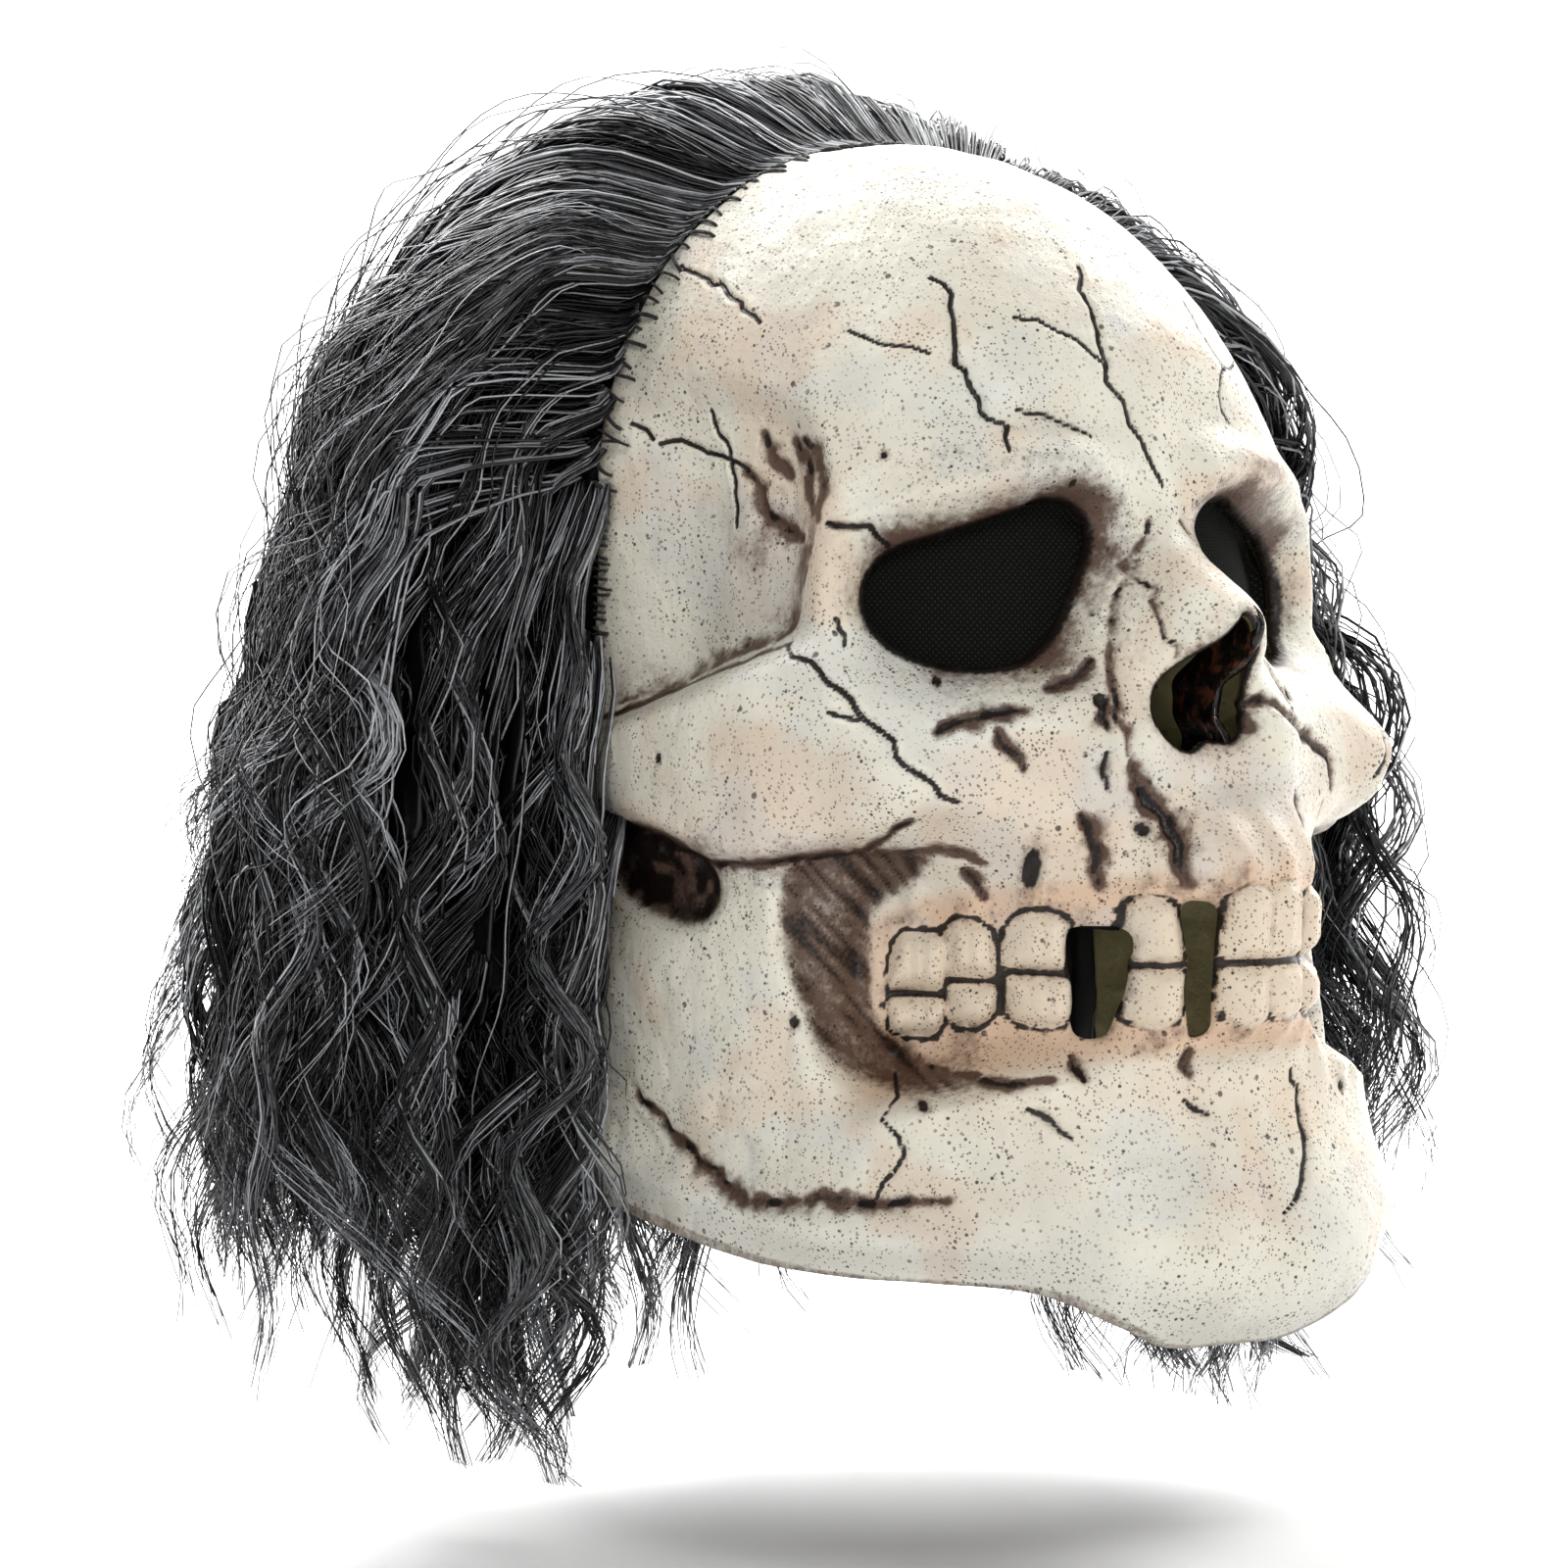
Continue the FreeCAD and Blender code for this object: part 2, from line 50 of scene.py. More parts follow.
# ---- sizes shared with the CAD model, mm ----
LATEX_WALL = 2.0
SEAM_Y = 48.0
DOME_Z = 20.0
SEAM_HALF_WIDTH = 80.0
SEAM_HEIGHT = 83.0
FACE_DEPTH = 108.0
JAW_REAR = 72.0
RIM_Z = -167.0
JAW_CORNER_Z = -136.0
CAP_DEPTH = 100.0
DOME_RUN = 130.0
HAIR_ROWS = [(120.0, 8.5, -140.0), (96.0, 9.0, -148.0), (76.0, 9.0, -160.0), (52.0, 8.0, -172.0),
             (28.0, 7.0, -180.0), (4.0, 6.0, -192.0), (-36.0, 5.0, -200.0), (-72.0, 5.0, -208.0)]
FACE_PROFILE = [(-167.0, 26.0), (-160.0, 34.0), (-148.0, 39.0), (-136.0, 38.0), (-110.0, 27.0),
                (-95.0, 27.0), (-75.0, 29.0), (-55.0, 24.0), (-37.0, 16.0), (-18.0, 10.0),
                (0.0, 6.0), (20.0, 0.0)]
SIDE_PROFILE = [(-167.0, 4.0), (-135.0, 6.0), (-90.0, 5.0), (-60.0, 3.0), (-35.0, 3.0), (-10.0, 0.5),
                (20.0, 0.0)]
SQUARENESS = [(-167.0, 2.2), (-110.0, 2.35), (-60.0, 2.3), (-35.0, 2.4), (0.0, 2.45), (20.0, 2.2)]
DOME_PROFILE = [(0.0, 0.0), (12.0, 0.13), (24.0, 0.32), (38.0, 0.56), (55.0, 0.78), (72.0, 0.93), (90.0, 1.0)]
RIM_PROFILE = [(0.0, 0.0), (7.0, 0.02), (12.0, 0.2), (19.0, 0.45), (27.0, 0.5), (36.0, 0.5), (48.0, 0.55),
               (68.0, 0.75), (98.0, 1.0)]
TEETH_FRONT_Y = -98.0
TEETH_CURVE = 0.0282


# ---- small helpers ----
def smooth(low, high, value):
    t = np.clip((value - low) / (high - low), 0.0, 1.0)
    return t * t * (3.0 - 2.0 * t)


def bell(value, centre, width):
    return np.exp(-((value - centre) / width) ** 2)


def unit(vectors):
    """The same vectors scaled to length 1."""
    return vectors / np.maximum(np.linalg.norm(vectors, axis=-1), TINY)[..., None]


def raise_to(layer, value):
    """Raises a painted layer in place wherever the value is higher."""
    np.maximum(layer, value, out=layer)


def grid_quads(rows, cols):
    """The faces of a grid of rows x cols points, four corners each."""
    index = np.arange(rows * cols).reshape(rows, cols)
    return np.stack([index[:-1, :-1], index[:-1, 1:], index[1:, 1:], index[1:, :-1]], -1).reshape(-1, 4)


def grid_normals(place):
    return unit(np.cross(np.gradient(place, axis=1), np.gradient(place, axis=0)))


def through(points, value):
    """A smooth curve through (position, value) pairs in rising order of position."""
    x = np.array([p[0] for p in points])
    y = np.array([p[1] for p in points])
    value = np.clip(value, x[0], x[-1])
    k = np.clip(np.searchsorted(x, value, side="right") - 1, 0, len(x) - 2)
    before = np.maximum(k - 1, 0)
    after = np.minimum(k + 2, len(x) - 1)
    span = x[k + 1] - x[k]
    slope_a = (y[k + 1] - y[before]) / (x[k + 1] - x[before])
    slope_b = (y[after] - y[k]) / (x[after] - x[k])
    t = (value - x[k]) / span
    return ((2 * t ** 3 - 3 * t ** 2 + 1) * y[k] + (t ** 3 - 2 * t ** 2 + t) * span * slope_a
            + (3 * t ** 2 - 2 * t ** 3) * y[k + 1] + (t ** 3 - t ** 2) * span * slope_b)


def lattice(ix, iy, iz, seed):
    """A fixed random number from 0 to 1 for each whole-number place."""
    h = (ix * 374761393 + iy * 668265263 + iz * 2147483647 + seed * 144665) & 0xFFFFFFFF
    h = ((h ^ (h >> 13)) * 1274126177) & 0xFFFFFFFF
    h = h ^ (h >> 16)
    return (h & 0xFFFF) / 65535.0


def noise(points, size, seed=0):
    """Smooth value noise from -1 to 1, with features of about the given size in mm."""
    p = points / size
    cell = np.floor(p).astype(np.int64)
    f = p - cell
    f = f * f * (3 - 2 * f)
    total = 0.0
    for dx in (0, 1):
        for dy in (0, 1):
            for dz in (0, 1):
                weight = (np.where(dx, f[..., 0], 1 - f[..., 0]) * np.where(dy, f[..., 1], 1 - f[..., 1])
                          * np.where(dz, f[..., 2], 1 - f[..., 2]))
                corner = (cell[..., 0] + dx, cell[..., 1] + dy, cell[..., 2] + dz)
                total = total + weight * lattice(*corner, seed)
    return total * 2.0 - 1.0


def new_mesh(name, vertices_mm, faces):
    """A smooth shaded mesh from points in mm and faces that all have the same number of corners."""
    mesh = bpy.data.meshes.new(name)
    faces = np.asarray(faces)
    mesh.vertices.add(len(vertices_mm))
    mesh.vertices.foreach_set("co", (np.asarray(vertices_mm) * MM).astype(np.float32).ravel())
    corners = faces.shape[1]
    mesh.loops.add(faces.size)
    mesh.loops.foreach_set("vertex_index", faces.astype(np.int32).ravel())
    mesh.polygons.add(len(faces))
    mesh.polygons.foreach_set("loop_start", np.arange(0, faces.size, corners, dtype=np.int32))
    mesh.polygons.foreach_set("use_smooth", np.full(len(faces), True))
    mesh.update(calc_edges=True)
    piece = bpy.data.objects.new(name, mesh)
    bpy.context.scene.collection.objects.link(piece)
    return piece


def give(piece, name, values):
    """Stores one number per vertex for the material to read."""
    layer = piece.data.attributes.new(name, "FLOAT", "POINT")
    layer.data.foreach_set("value", np.asarray(values, dtype=np.float32).ravel())


# ---- the skull's form ----
def half_width(z):
    return SEAM_HALF_WIDTH + through(SIDE_PROFILE, z)


def rim_height(angle):
    return RIM_Z + (JAW_CORNER_Z - RIM_Z) * through(RIM_PROFILE, np.abs(angle))


def rear_angle(z):
    back = (JAW_REAR - SEAM_Y) * smooth(-20.0, -75.0, z)
    return 90.0 + np.degrees(np.arctan2(back, half_width(z)))


def dental_arch(angle):
    s = np.maximum(np.sin(np.radians(angle)), 1e-3)
    c = np.cos(np.radians(angle))
    depth = SEAM_Y - TEETH_FRONT_Y
    return (-c + np.sqrt(c * c + 4 * TEETH_CURVE * s * s * depth)) / (2 * TEETH_CURVE * s * s)


def bite_height(a):
    """Height of the bite line at angle a from the middle."""
    return -81.0 - 0.0095 * a * a


def mouth_share(a, z):
    """1 where the dental arch shapes the surface, 0 where the jaw and cheek do."""
    top = smooth(-42.0, -68.0, z + 0.35 * np.maximum(a - 20.0, 0.0))
    bottom = smooth(bite_height(a) - 25.0, bite_height(a) - 12.0, z)
    return top * bottom * smooth(48.0, 31.0, a + 0.10 * np.abs(z + 80.0))


def relief(angle, z):
    """Brow, sockets, nose, cheekbones, arches and chin, as a radial height in mm."""
    a = np.abs(angle)
    brow_z = 25.5 - 0.016 * (a - 17.0) ** 2
    out = 4.5 * bell(z, brow_z, 8.0) * smooth(52.0, 38.0, a) * smooth(1.0, 10.0, a)
    out = out - 2.5 * bell(z, 39.0, 8.0) * bell(a, 12.0, 9.0)
    out = out + 4.5 * bell(a, 41.5, 4.5) * bell(z, 0.0, 15.0)
    ridge = 4.5 + 21.5 * smooth(16.0, -7.0, z) * smooth(-34.0, -11.0, z)
    out = out + ridge * np.exp(-np.abs(a / (5.0 + 1.3 * smooth(10.0, -10.0, z))) ** 2.4) * bell(z, -6.0, 24.0)
    out = out + 12.5 * bell(a, 6.5, 6.5) * bell(z, -31.0, 12.5)
    out = out + 5.0 * np.exp(-(a / 9.0) ** 4) * bell(z, -52.0, 12.0)
    out = out + 10.0 * bell(a, 35.0, 10.0) * bell(z, -36.0, 13.5)
    arch = smooth(40.0, 52.0, a) * smooth(90.0, 74.0, a)
    arch_top = -12.5 - 0.55 * (a - 48.0)
    out = out + 4.8 * arch * smooth(-66.0, -57.0, z) * smooth(arch_top + 1.0, arch_top - 6.0, z)
    fossa = smooth(43.0, 49.5, a - 0.02 * (z - 5.0)) * smooth(88.0, 64.0, a)
    out = out - 7.5 * fossa * smooth(arch_top - 3.0, arch_top + 3.0, z) * smooth(58.0, 22.0, z)
    out = out + 3.2 * bell(a, 9.0, 9.0) * bell(z, -143.0, 13.0)
    out = out - 2.5 * bell(a, 0.0, 3.0) * bell(z, -150.0, 14.0)
    out = out + 2.5 * bell(z, rim_height(a) + 14.0, 9.0) * smooth(14.0, 24.0, a) * smooth(60.0, 40.0, a)
    return out


def wall_radius(angle, z):
    a = np.radians(angle)
    s = np.maximum(np.abs(np.sin(a)), 1e-6)
    c = np.maximum(np.cos(a), 1e-6)
    n = through(SQUARENESS, z)
    base = ((s / half_width(z)) ** n + (c / (FACE_DEPTH + through(FACE_PROFILE, z))) ** n) ** (-1 / n)
    base = np.where(np.abs(angle) > 90.0, half_width(z) / s, base)
    share = mouth_share(np.abs(angle), z)
    base = base + share * (dental_arch(np.abs(angle)) - base)
    return base + relief(angle, z)


def wall_point(angle, z, lift=0.0):
    r = wall_radius(angle, z) + lift
    a = np.radians(angle)
    return np.stack([r * np.sin(a), SEAM_Y - r * np.cos(a), z + 0.0 * r], -1)


def dome_point(p, q, lift=0.0):
    reach = np.maximum(np.hypot(p, q), TINY)
    k = np.sin(reach * np.pi / 2) / reach
    dx, dy, dz = k * p, -np.cos(reach * np.pi / 2), k * q
    rise = np.degrees(np.arctan2(dz, -dy))
    depth = FACE_DEPTH + (SEAM_HEIGHT - FACE_DEPTH) * through(DOME_PROFILE, rise)
    across = np.maximum(np.abs(dx), TINY)
    along = np.sqrt(np.maximum(0.0, 1.0 - dx * dx))
    n = 2.2 - 0.2 * smooth(0.0, 40.0, rise)
    base = ((across / SEAM_HALF_WIDTH) ** n + (along / depth) ** n) ** (-1 / n)
    angle = np.degrees(np.arctan2(dx * base, -dy * base))
    base = base + relief(angle, DOME_Z + dz * base) * smooth(80.0, 45.0, rise) + lift
    return np.stack([dx * base, SEAM_Y + dy * base, DOME_Z + dz * base], -1)


# ---- openings ----
# Outlines as angle from the middle of the face in degrees, and height in mm, on the wearer's left.
EYE_OUTLINE = [(8.6, 13.0), (10.8, 18.0), (14.5, 19.5), (19.0, 16.5), (26.0, 12.5), (33.5, 8.5), (37.0, 3.0),
               (37.6, -3.5), (36.0, -9.5), (32.0, -14.5), (26.0, -17.0), (20.0, -16.5), (15.8, -11.5),
               (12.2, -2.0), (9.8, 6.0)]
NOSE_OUTLINE = [(0.3, -5.0), (1.5, -8.0), (2.1, -14.0), (2.6, -21.0), (2.9, -28.0), (2.3, -32.5),
                (1.2, -33.5), (-0.2, -33.0), (-1.6, -33.6), (-4.2, -35.2), (-6.6, -33.0),
                (-7.8, -28.0), (-6.9, -22.0), (-4.6, -16.0), (-2.0, -10.0)]
GAP_REAR = [(-15.6, -75.5), (-15.2, -88.0), (-14.9, -97.5), (-12.6, -97.5), (-11.6, -92.0), (-11.0, -85.0),
            (-10.9, -75.0), (-13.0, -73.5)]
GAP_FRONT = [(-7.0, -69.0), (-6.6, -80.0), (-6.7, -88.0), (-6.3, -97.0), (-4.9, -97.0), (-4.7, -88.0),
             (-4.5, -78.0), (-4.4, -69.5), (-5.6, -67.5)]
DEGREE_MM = {"eye": 1.85, "nose": 2.3, "gap": 2.35}    # width of one degree on the surface there


SPAN_POINTS = 7              # points from one outline point to the next


def closed_curve(points, degree_mm, side=1):
    """A closed Catmull-Rom curve through the outline, as flat x and z in mm."""
    p = np.array([(side * x * degree_mm, z) for x, z in points])
    out = []
    for k in range(len(p)):
        a, b, c, d = p[k - 1], p[k], p[(k + 1) % len(p)], p[(k + 2) % len(p)]
        for t in np.arange(SPAN_POINTS) / SPAN_POINTS:
            out.append(0.5 * (2 * b + (c - a) * t + (2 * a - 5 * b + 4 * c - d) * t * t
                              + (3 * b - a - 3 * c + d) * t ** 3))
    return np.array(out)


def outline_distance(x, z, curve):
    """Distance in mm outside the closed curve, negative inside it, and the nearest point on it."""
    best = np.full(x.shape, FAR)
    near_x, near_z = np.zeros(x.shape), np.zeros(x.shape)
    inside = np.zeros(x.shape, bool)
    for k in range(len(curve)):
        (ax, az), (bx, bz) = curve[k - 1], curve[k]
        ex, ez = bx - ax, bz - az
        t = np.clip(((x - ax) * ex + (z - az) * ez) / (ex * ex + ez * ez), 0.0, 1.0)
        cx, cz = ax + t * ex, az + t * ez
        d = np.hypot(x - cx, z - cz)
        closer = d < best
        best = np.where(closer, d, best)
        near_x = np.where(closer, cx, near_x)
        near_z = np.where(closer, cz, near_z)
        if az != bz:
            crossing = ((az > z) != (bz > z)) & (x < (bx - ax) * (z - az) / (bz - az) + ax)
            inside ^= crossing
    return np.where(inside, -best, best), near_x, near_z


OPENINGS = [("eye", closed_curve(EYE_OUTLINE, DEGREE_MM["eye"], RIGHT)),
            ("eye", closed_curve(EYE_OUTLINE, DEGREE_MM["eye"], LEFT)),
            ("nose", closed_curve(NOSE_OUTLINE, DEGREE_MM["nose"])),
            ("gap", closed_curve(GAP_REAR, DEGREE_MM["gap"])),
            ("gap", closed_curve(GAP_FRONT, DEGREE_MM["gap"]))]


# ---- strokes on the latex: painted and carved lines ----
# Each stroke: (width mm, depth mm, ink 0-1, brown 0-1, [(angle, z), ...]).
STROKES = [
    # forehead cracks
    (0.9, 1.0, 1.0, 0.5, [(-27, 70), (-24.5, 66), (-25, 57), (-25, 50), (-23.5, 47), (-23, 42), (-21.5, 38),
                          (-19.5, 36), (-20, 31)]),
    (0.6, 0.6, 0.8, 0.4, [(-40.5, 58), (-35.5, 55), (-31.5, 54), (-28.5, 53)]),
    (0.7, 0.7, 0.9, 0.4, [(-84, 74), (-69, 69), (-60.5, 63), (-56.5, 60)]),
    (0.7, 0.7, 0.9, 0.4, [(-16, 61), (-13, 60), (-9.5, 58), (-6.5, 54), (-4.5, 50)]),
    (0.9, 0.9, 1.0, 0.4, [(-1, 73), (-3.5, 67), (-3.5, 60), (-4, 55), (-4.5, 47), (-3, 42), (-2.5, 37),
                          (-1, 30), (0.5, 23)]),
    (0.9, 0.8, 0.8, 0.6, [(-18, 40), (-14, 39), (-10, 36), (-8.5, 34)]),
    (0.6, 0.5, 0.7, 0.3, [(22, 66), (19, 58), (20, 50), (16, 44), (17, 37)]),
    (0.5, 0.5, 0.7, 0.3, [(31, 52), (25, 50), (20, 50)]),
    (0.7, 0.7, 0.8, 0.4, [(48, 72), (44, 62), (45, 52), (40, 45), (41, 36)]),
    # temple
    (1.1, 1.1, 1.0, 0.9, [(-42.5, 15), (-37, 14), (-34.5, 10)]),
    (2.2, 1.3, 0.15, 1.3, [(-59, 27), (-56.5, 22), (-55, 17), (-51.5, 13), (-46.5, 11)]),
    (2.0, 1.1, 0.15, 1.3, [(-55.5, 35), (-53.5, 30), (-50, 25)]),
    (2.4, 1.3, 0.15, 1.3, [(-49, 33), (-46.5, 30), (-46, 23), (-45, 17)]),
    (2.0, 1.1, 0.15, 1.2, [(-47.5, 34), (-44.5, 31), (-43.5, 23), (-44, 16)]),
    (0.7, 0.7, 0.9, 0.4, [(-83, 38), (-79, 34)]),
    (0.8, 0.8, 0.9, 0.5, [(-77.5, 33), (-74, 34), (-70, 32), (-67, 31), (-61, 29), (-59, 27)]),
    (0.8, 0.8, 0.9, 0.5, [(-67.5, 41), (-65, 36), (-63, 31), (-61.5, 21), (-61, 14)]),
    # cheekbone and arch
    (1.6, 0.3, 0.5, 1.3, [(-47.5, -12), (-53, -15), (-61.5, -19.5), (-67.5, -22.5), (-74.5, -25.5),
                          (-84, -30)]),
    (2.0, 1.3, 0.3, 1.3, [(-33, -58), (-28, -57), (-24, -60)]),
    (1.8, 1.2, 0.4, 1.2, [(-12, -24), (-12.3, -30)]),
    (2.0, 1.2, 0.2, 1.3, [(-29, -106), (-24, -108), (-19, -107)]),
    (1.6, 1.2, 0.5, 1.2, [(-16.5, -102), (-15.5, -107)]),
    (1.6, 1.2, 0.5, 1.2, [(-6, -101), (-5, -106)]),
    (1.8, 1.6, 0.5, 1.0, [(-92, -51), (-75, -55), (-58.5, -62), (-46, -60), (-37.5, -58), (-32.5, -50)]),
    (1.0, 1.2, 1.0, 0.6, [(-48, -13), (-44, -16), (-39, -24), (-37, -28), (-34.5, -33), (-33, -38),
                          (-30.5, -42), (-27.5, -46)]),
    (0.8, 0.8, 0.9, 0.4, [(-41.5, -27), (-38, -28)]),
    (0.8, 0.8, 0.9, 0.5, [(-41, -6), (-40.5, -8), (-40, -12)]),
    (2.1, 1.2, 0.5, 1.3, [(-30, -31), (-27, -28), (-24, -27), (-20, -26)]),
    (2.0, 1.2, 0.5, 1.2, [(-17.5, -22), (-14, -19), (-12, -15)]),
    (1.7, 1.2, 0.5, 1.2, [(-23.5, -31), (-22, -34), (-20.5, -39)]),
    (1.0, 1.2, 1.0, 0.6, [(48, -13), (43, -18), (38, -26), (34, -36), (30, -44)]),
    (1.6, 0.3, 0.5, 1.3, [(47.5, -12), (55, -18), (65, -24), (76, -29)]),
    (1.8, 1.6, 0.5, 1.0, [(90, -51), (74, -55), (58, -62), (46, -60), (36, -57)]),
    # beside the nose and over the teeth
    (1.5, 1.0, 0.3, 0.8, [(-2, 15), (-5, 9), (-7.5, 0), (-9, -7), (-10.5, -16), (-11, -24), (-11, -31),
                          (-10.5, -37)]),
    (1.0, 0.7, 0.3, 0.7, [(-5.5, 6), (-5.5, 0), (-6, -5), (-5.5, -10), (-5, -14)]),
    (1.5, 1.0, 0.3, 0.8, [(2, 15), (5, 9), (7.5, 0), (9, -7), (10.5, -16), (11, -24), (11, -31),
                          (10.5, -37)]),
    (2.2, 1.6, 0.7, 1.3, [(-15, -49), (-14, -54), (-13, -64)]),
    (1.9, 1.3, 0.6, 1.2, [(-25.5, -61), (-23, -68)]),
    (2.8, 1.8, 0.45, 1.4, [(-10.5, -39), (-8.5, -46), (-7.5, -55), (-7, -63)]),
    (1.9, 1.5, 0.5, 1.3, [(3, -30), (2.5, -26), (4.5, -24), (10.5, -30), (18.5, -35), (21.5, -40),
                          (21, -45)]),
    (2.2, 1.5, 0.6, 1.3, [(9, -46), (8, -55), (8.5, -63)]),
    (1.9, 1.3, 0.6, 1.2, [(19, -50), (17, -58), (17, -66)]),
    (1.2, 1.2, 0.8, 0.8, [(-12.5, -35), (-12.5, -43)]),
    # jaw and chin
    (2.2, 1.4, 0.35, 1.0, [(-74, -115), (-70.5, -118), (-65.5, -125), (-59.5, -131), (-53, -136), (-48, -136),
                           (-42, -134), (-36.5, -135), (-29, -133)]),
    (1.2, 1.1, 0.9, 0.6, [(7, -107), (8, -111), (7.5, -118), (6.5, -125), (4.5, -131), (2, -137)]),
    (1.3, 1.1, 0.8, 0.6, [(-6, -112), (-3.5, -115)]),
    (1.2, 1.0, 0.8, 0.6, [(-21, -113), (-19, -116), (-17.5, -119)]),
    (0.8, 0.8, 0.9, 0.4, [(-33, -108), (-35, -116), (-33, -124), (-36, -133)]),
    (0.8, 0.8, 0.9, 0.4, [(27, -108), (29, -117), (27, -126), (30, -136)]),
    (2.0, 1.2, 0.35, 1.0, [(70, -117), (64, -127), (54, -136), (44, -135), (32, -133)]),
]
# Pits: (angle, z, half width mm, half height mm, depth mm, ink).
PITS = [(-12.5, -24, 1.6, 1.6, 1.8, 1.0), (12.5, -24, 1.6, 1.6, 1.8, 1.0), (-19, -61, 1.7, 4.6, 2.4, 1.0),
        (20, -61, 1.6, 4.0, 2.2, 1.0), (-10, -52, 1.3, 1.6, 1.3, 0.8), (-29, -20, 1.4, 1.2, 1.2, 0.7),
        (-31, -113, 1.4, 1.2, 1.2, 0.8), (16, -112, 1.4, 1.3, 1.2, 0.8), (-46, -96, 1.3, 1.6, 1.2, 0.8),
        (-66, -38, 1.2, 1.2, 1.0, 0.8), (-35, 30, 1.2, 1.0, 1.0, 0.7), (-12, 24, 1.1, 1.1, 0.9, 0.7)]


# ---- teeth ----
# Angles of each tooth's two sides; the places of the two lost teeth are left out.
UPPER_TEETH = [(-34.4, -27.6), (-26.9, -22.0), (-21.2, -16.0), (-10.8, -7.2), (-4.2, -0.4), (-0.1, 4.4),
               (4.8, 9.2), (9.7, 14.0), (14.6, 18.6), (19.2, 22.8), (23.4, 28.0), (28.6, 34.0)]
LOWER_TEETH = [(-34.4, -27.4), (-26.6, -21.8), (-20.9, -15.4), (-10.8, -7.0), (-4.2, -0.4), (0.0, 4.6),
               (5.0, 9.4), (9.9, 14.2), (14.8, 18.8), (19.4, 23.0), (23.6, 28.2), (28.8, 34.2)]


TOOTH_EDGE = 3.0             # mm over which a tooth's side rises
DEEPEST_TOOTH = 4.6          # mm in from its edge, a tooth is at its full height


def tooth_box(angle, z, sides, low, high):
    """0 outside a tooth, rising to 1 inside it with rounded edges, and the distance in mm inside its edge."""
    mid, half = (sides[0] + sides[1]) / 2, (sides[1] - sides[0]) / 2
    x = (angle - mid) * DEGREE_MM["gap"]
    narrow = smooth(0.55, 1.0, np.abs(z - bite_height(angle)) / abs(high - low))
    half_x = half * DEGREE_MM["gap"] * (1.0 - 0.16 * narrow)
    half_z = abs(high - low) / 2
    corner = np.minimum(2.4 + 2.2 * narrow, half * DEGREE_MM["gap"] * 0.85)
    dx = np.abs(x) - half_x + corner
    dz = np.abs(z - (low + high) / 2) - half_z + corner
    inside = -(np.hypot(np.maximum(dx, 0), np.maximum(dz, 0)) + np.minimum(np.maximum(dx, dz), 0) - corner)
    return smooth(0.0, TOOTH_EDGE, inside), inside


def teeth(angle, z):
    """Height of the teeth over the arch, with the ink between them, the tan at their roots and painted shade
    near their edges.
    """
    height = np.zeros(angle.shape)
    crown = np.zeros(angle.shape)
    root = np.zeros(angle.shape)
    closest = np.full(angle.shape, -50.0)
    tooth_edge_shade = np.zeros(angle.shape)
    for upper, rows in ((1, UPPER_TEETH), (-1, LOWER_TEETH)):
        for k, sides in enumerate(rows):
            mid = (sides[0] + sides[1]) / 2
            bite = bite_height(mid)
            length = (17.5 - 0.14 * abs(mid)) if upper > 0 else (14.5 - 0.12 * abs(mid))
            length += 1.1 * math.sin(5.1 * k + upper)
            low, high = bite + 0.45 * upper, bite + length * upper
            lean = 0.045 * math.sin(2.9 * k + 1.7 * upper) * (z - bite)
            sides = (sides[0] - 0.40 + lean, sides[1] + 0.40 + lean)
            box, inside = tooth_box(angle, z, sides, min(low, high), max(low, high))
            closest = np.maximum(closest, inside)
            x = (angle - mid) * DEGREE_MM["gap"]
            near_bite = smooth(5.0, 0.0, np.abs(z - low))
            ridges = 0.22 * np.sin(x * 2.1 + k) + 0.18 * np.sin(x * 4.3 + 2 * k)
            edge = 0.5 * near_bite * np.sin(x * 1.9 + 1.3 * k)
            box = np.sqrt(np.clip(inside, 0.0, DEEPEST_TOOTH) / DEEPEST_TOOTH) * box ** 0.3
            # Painted shade: brown and tan near each tooth's edges, where its rounded crown turns away.
            tooth_edge_shade = np.maximum(tooth_edge_shade, smooth(2.6, 0.3, inside) * (inside > 0))
            height = np.maximum(height, box * (4.4 + 0.5 * math.sin(2.3 * k) + ridges + edge))
            crown = np.maximum(crown, smooth(0.0, 0.7, inside))
            over = bell(x, 0.0, 3.6) * bell(z, high + 5.0 * upper, 8.5)
            height = height + 2.2 * over * (1 - crown)
            root = np.maximum(root, bell(x, 0.0, 5.0) * bell(z, high + 2.0 * upper, 5.0))
    band = smooth(bite_height(angle) + 17.5, bite_height(angle) + 14.0, z)
    band = band * smooth(bite_height(angle) - 14.5, bite_height(angle) - 12.0, z)
    band = band * smooth(37.0, 34.5, np.abs(angle))
    ragged = 0.35 * np.sin(angle * 3.1) + 0.3 * np.sin(z * 1.7 + angle)
    ink = band * (1 - crown) * smooth(-1.5, -0.5, closest + 0.8 * ragged)
    ink = np.maximum(ink, bell(z, bite_height(angle), 0.8) * smooth(36.5, 35.0, np.abs(angle)) * (1 - crown))
    tan = np.clip(root * (1 - crown) + 0.8 * crown * smooth(9.0, 17.0, np.abs(z - bite_height(angle))), 0, 1)
    return height, ink, tan * smooth(38.0, 33.0, np.abs(angle)), crown, tooth_edge_shade


# ---- the latex ----
COLUMNS, WALL_ROWS, DOME_ROWS = ((460, 234, 162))
NORMAL_BLURS = 6             # times the wall's direction is averaged, so that the inside stays smooth
BONE_DEGREE_MM = 1.6         # width of one degree where the hollows and strokes are measured


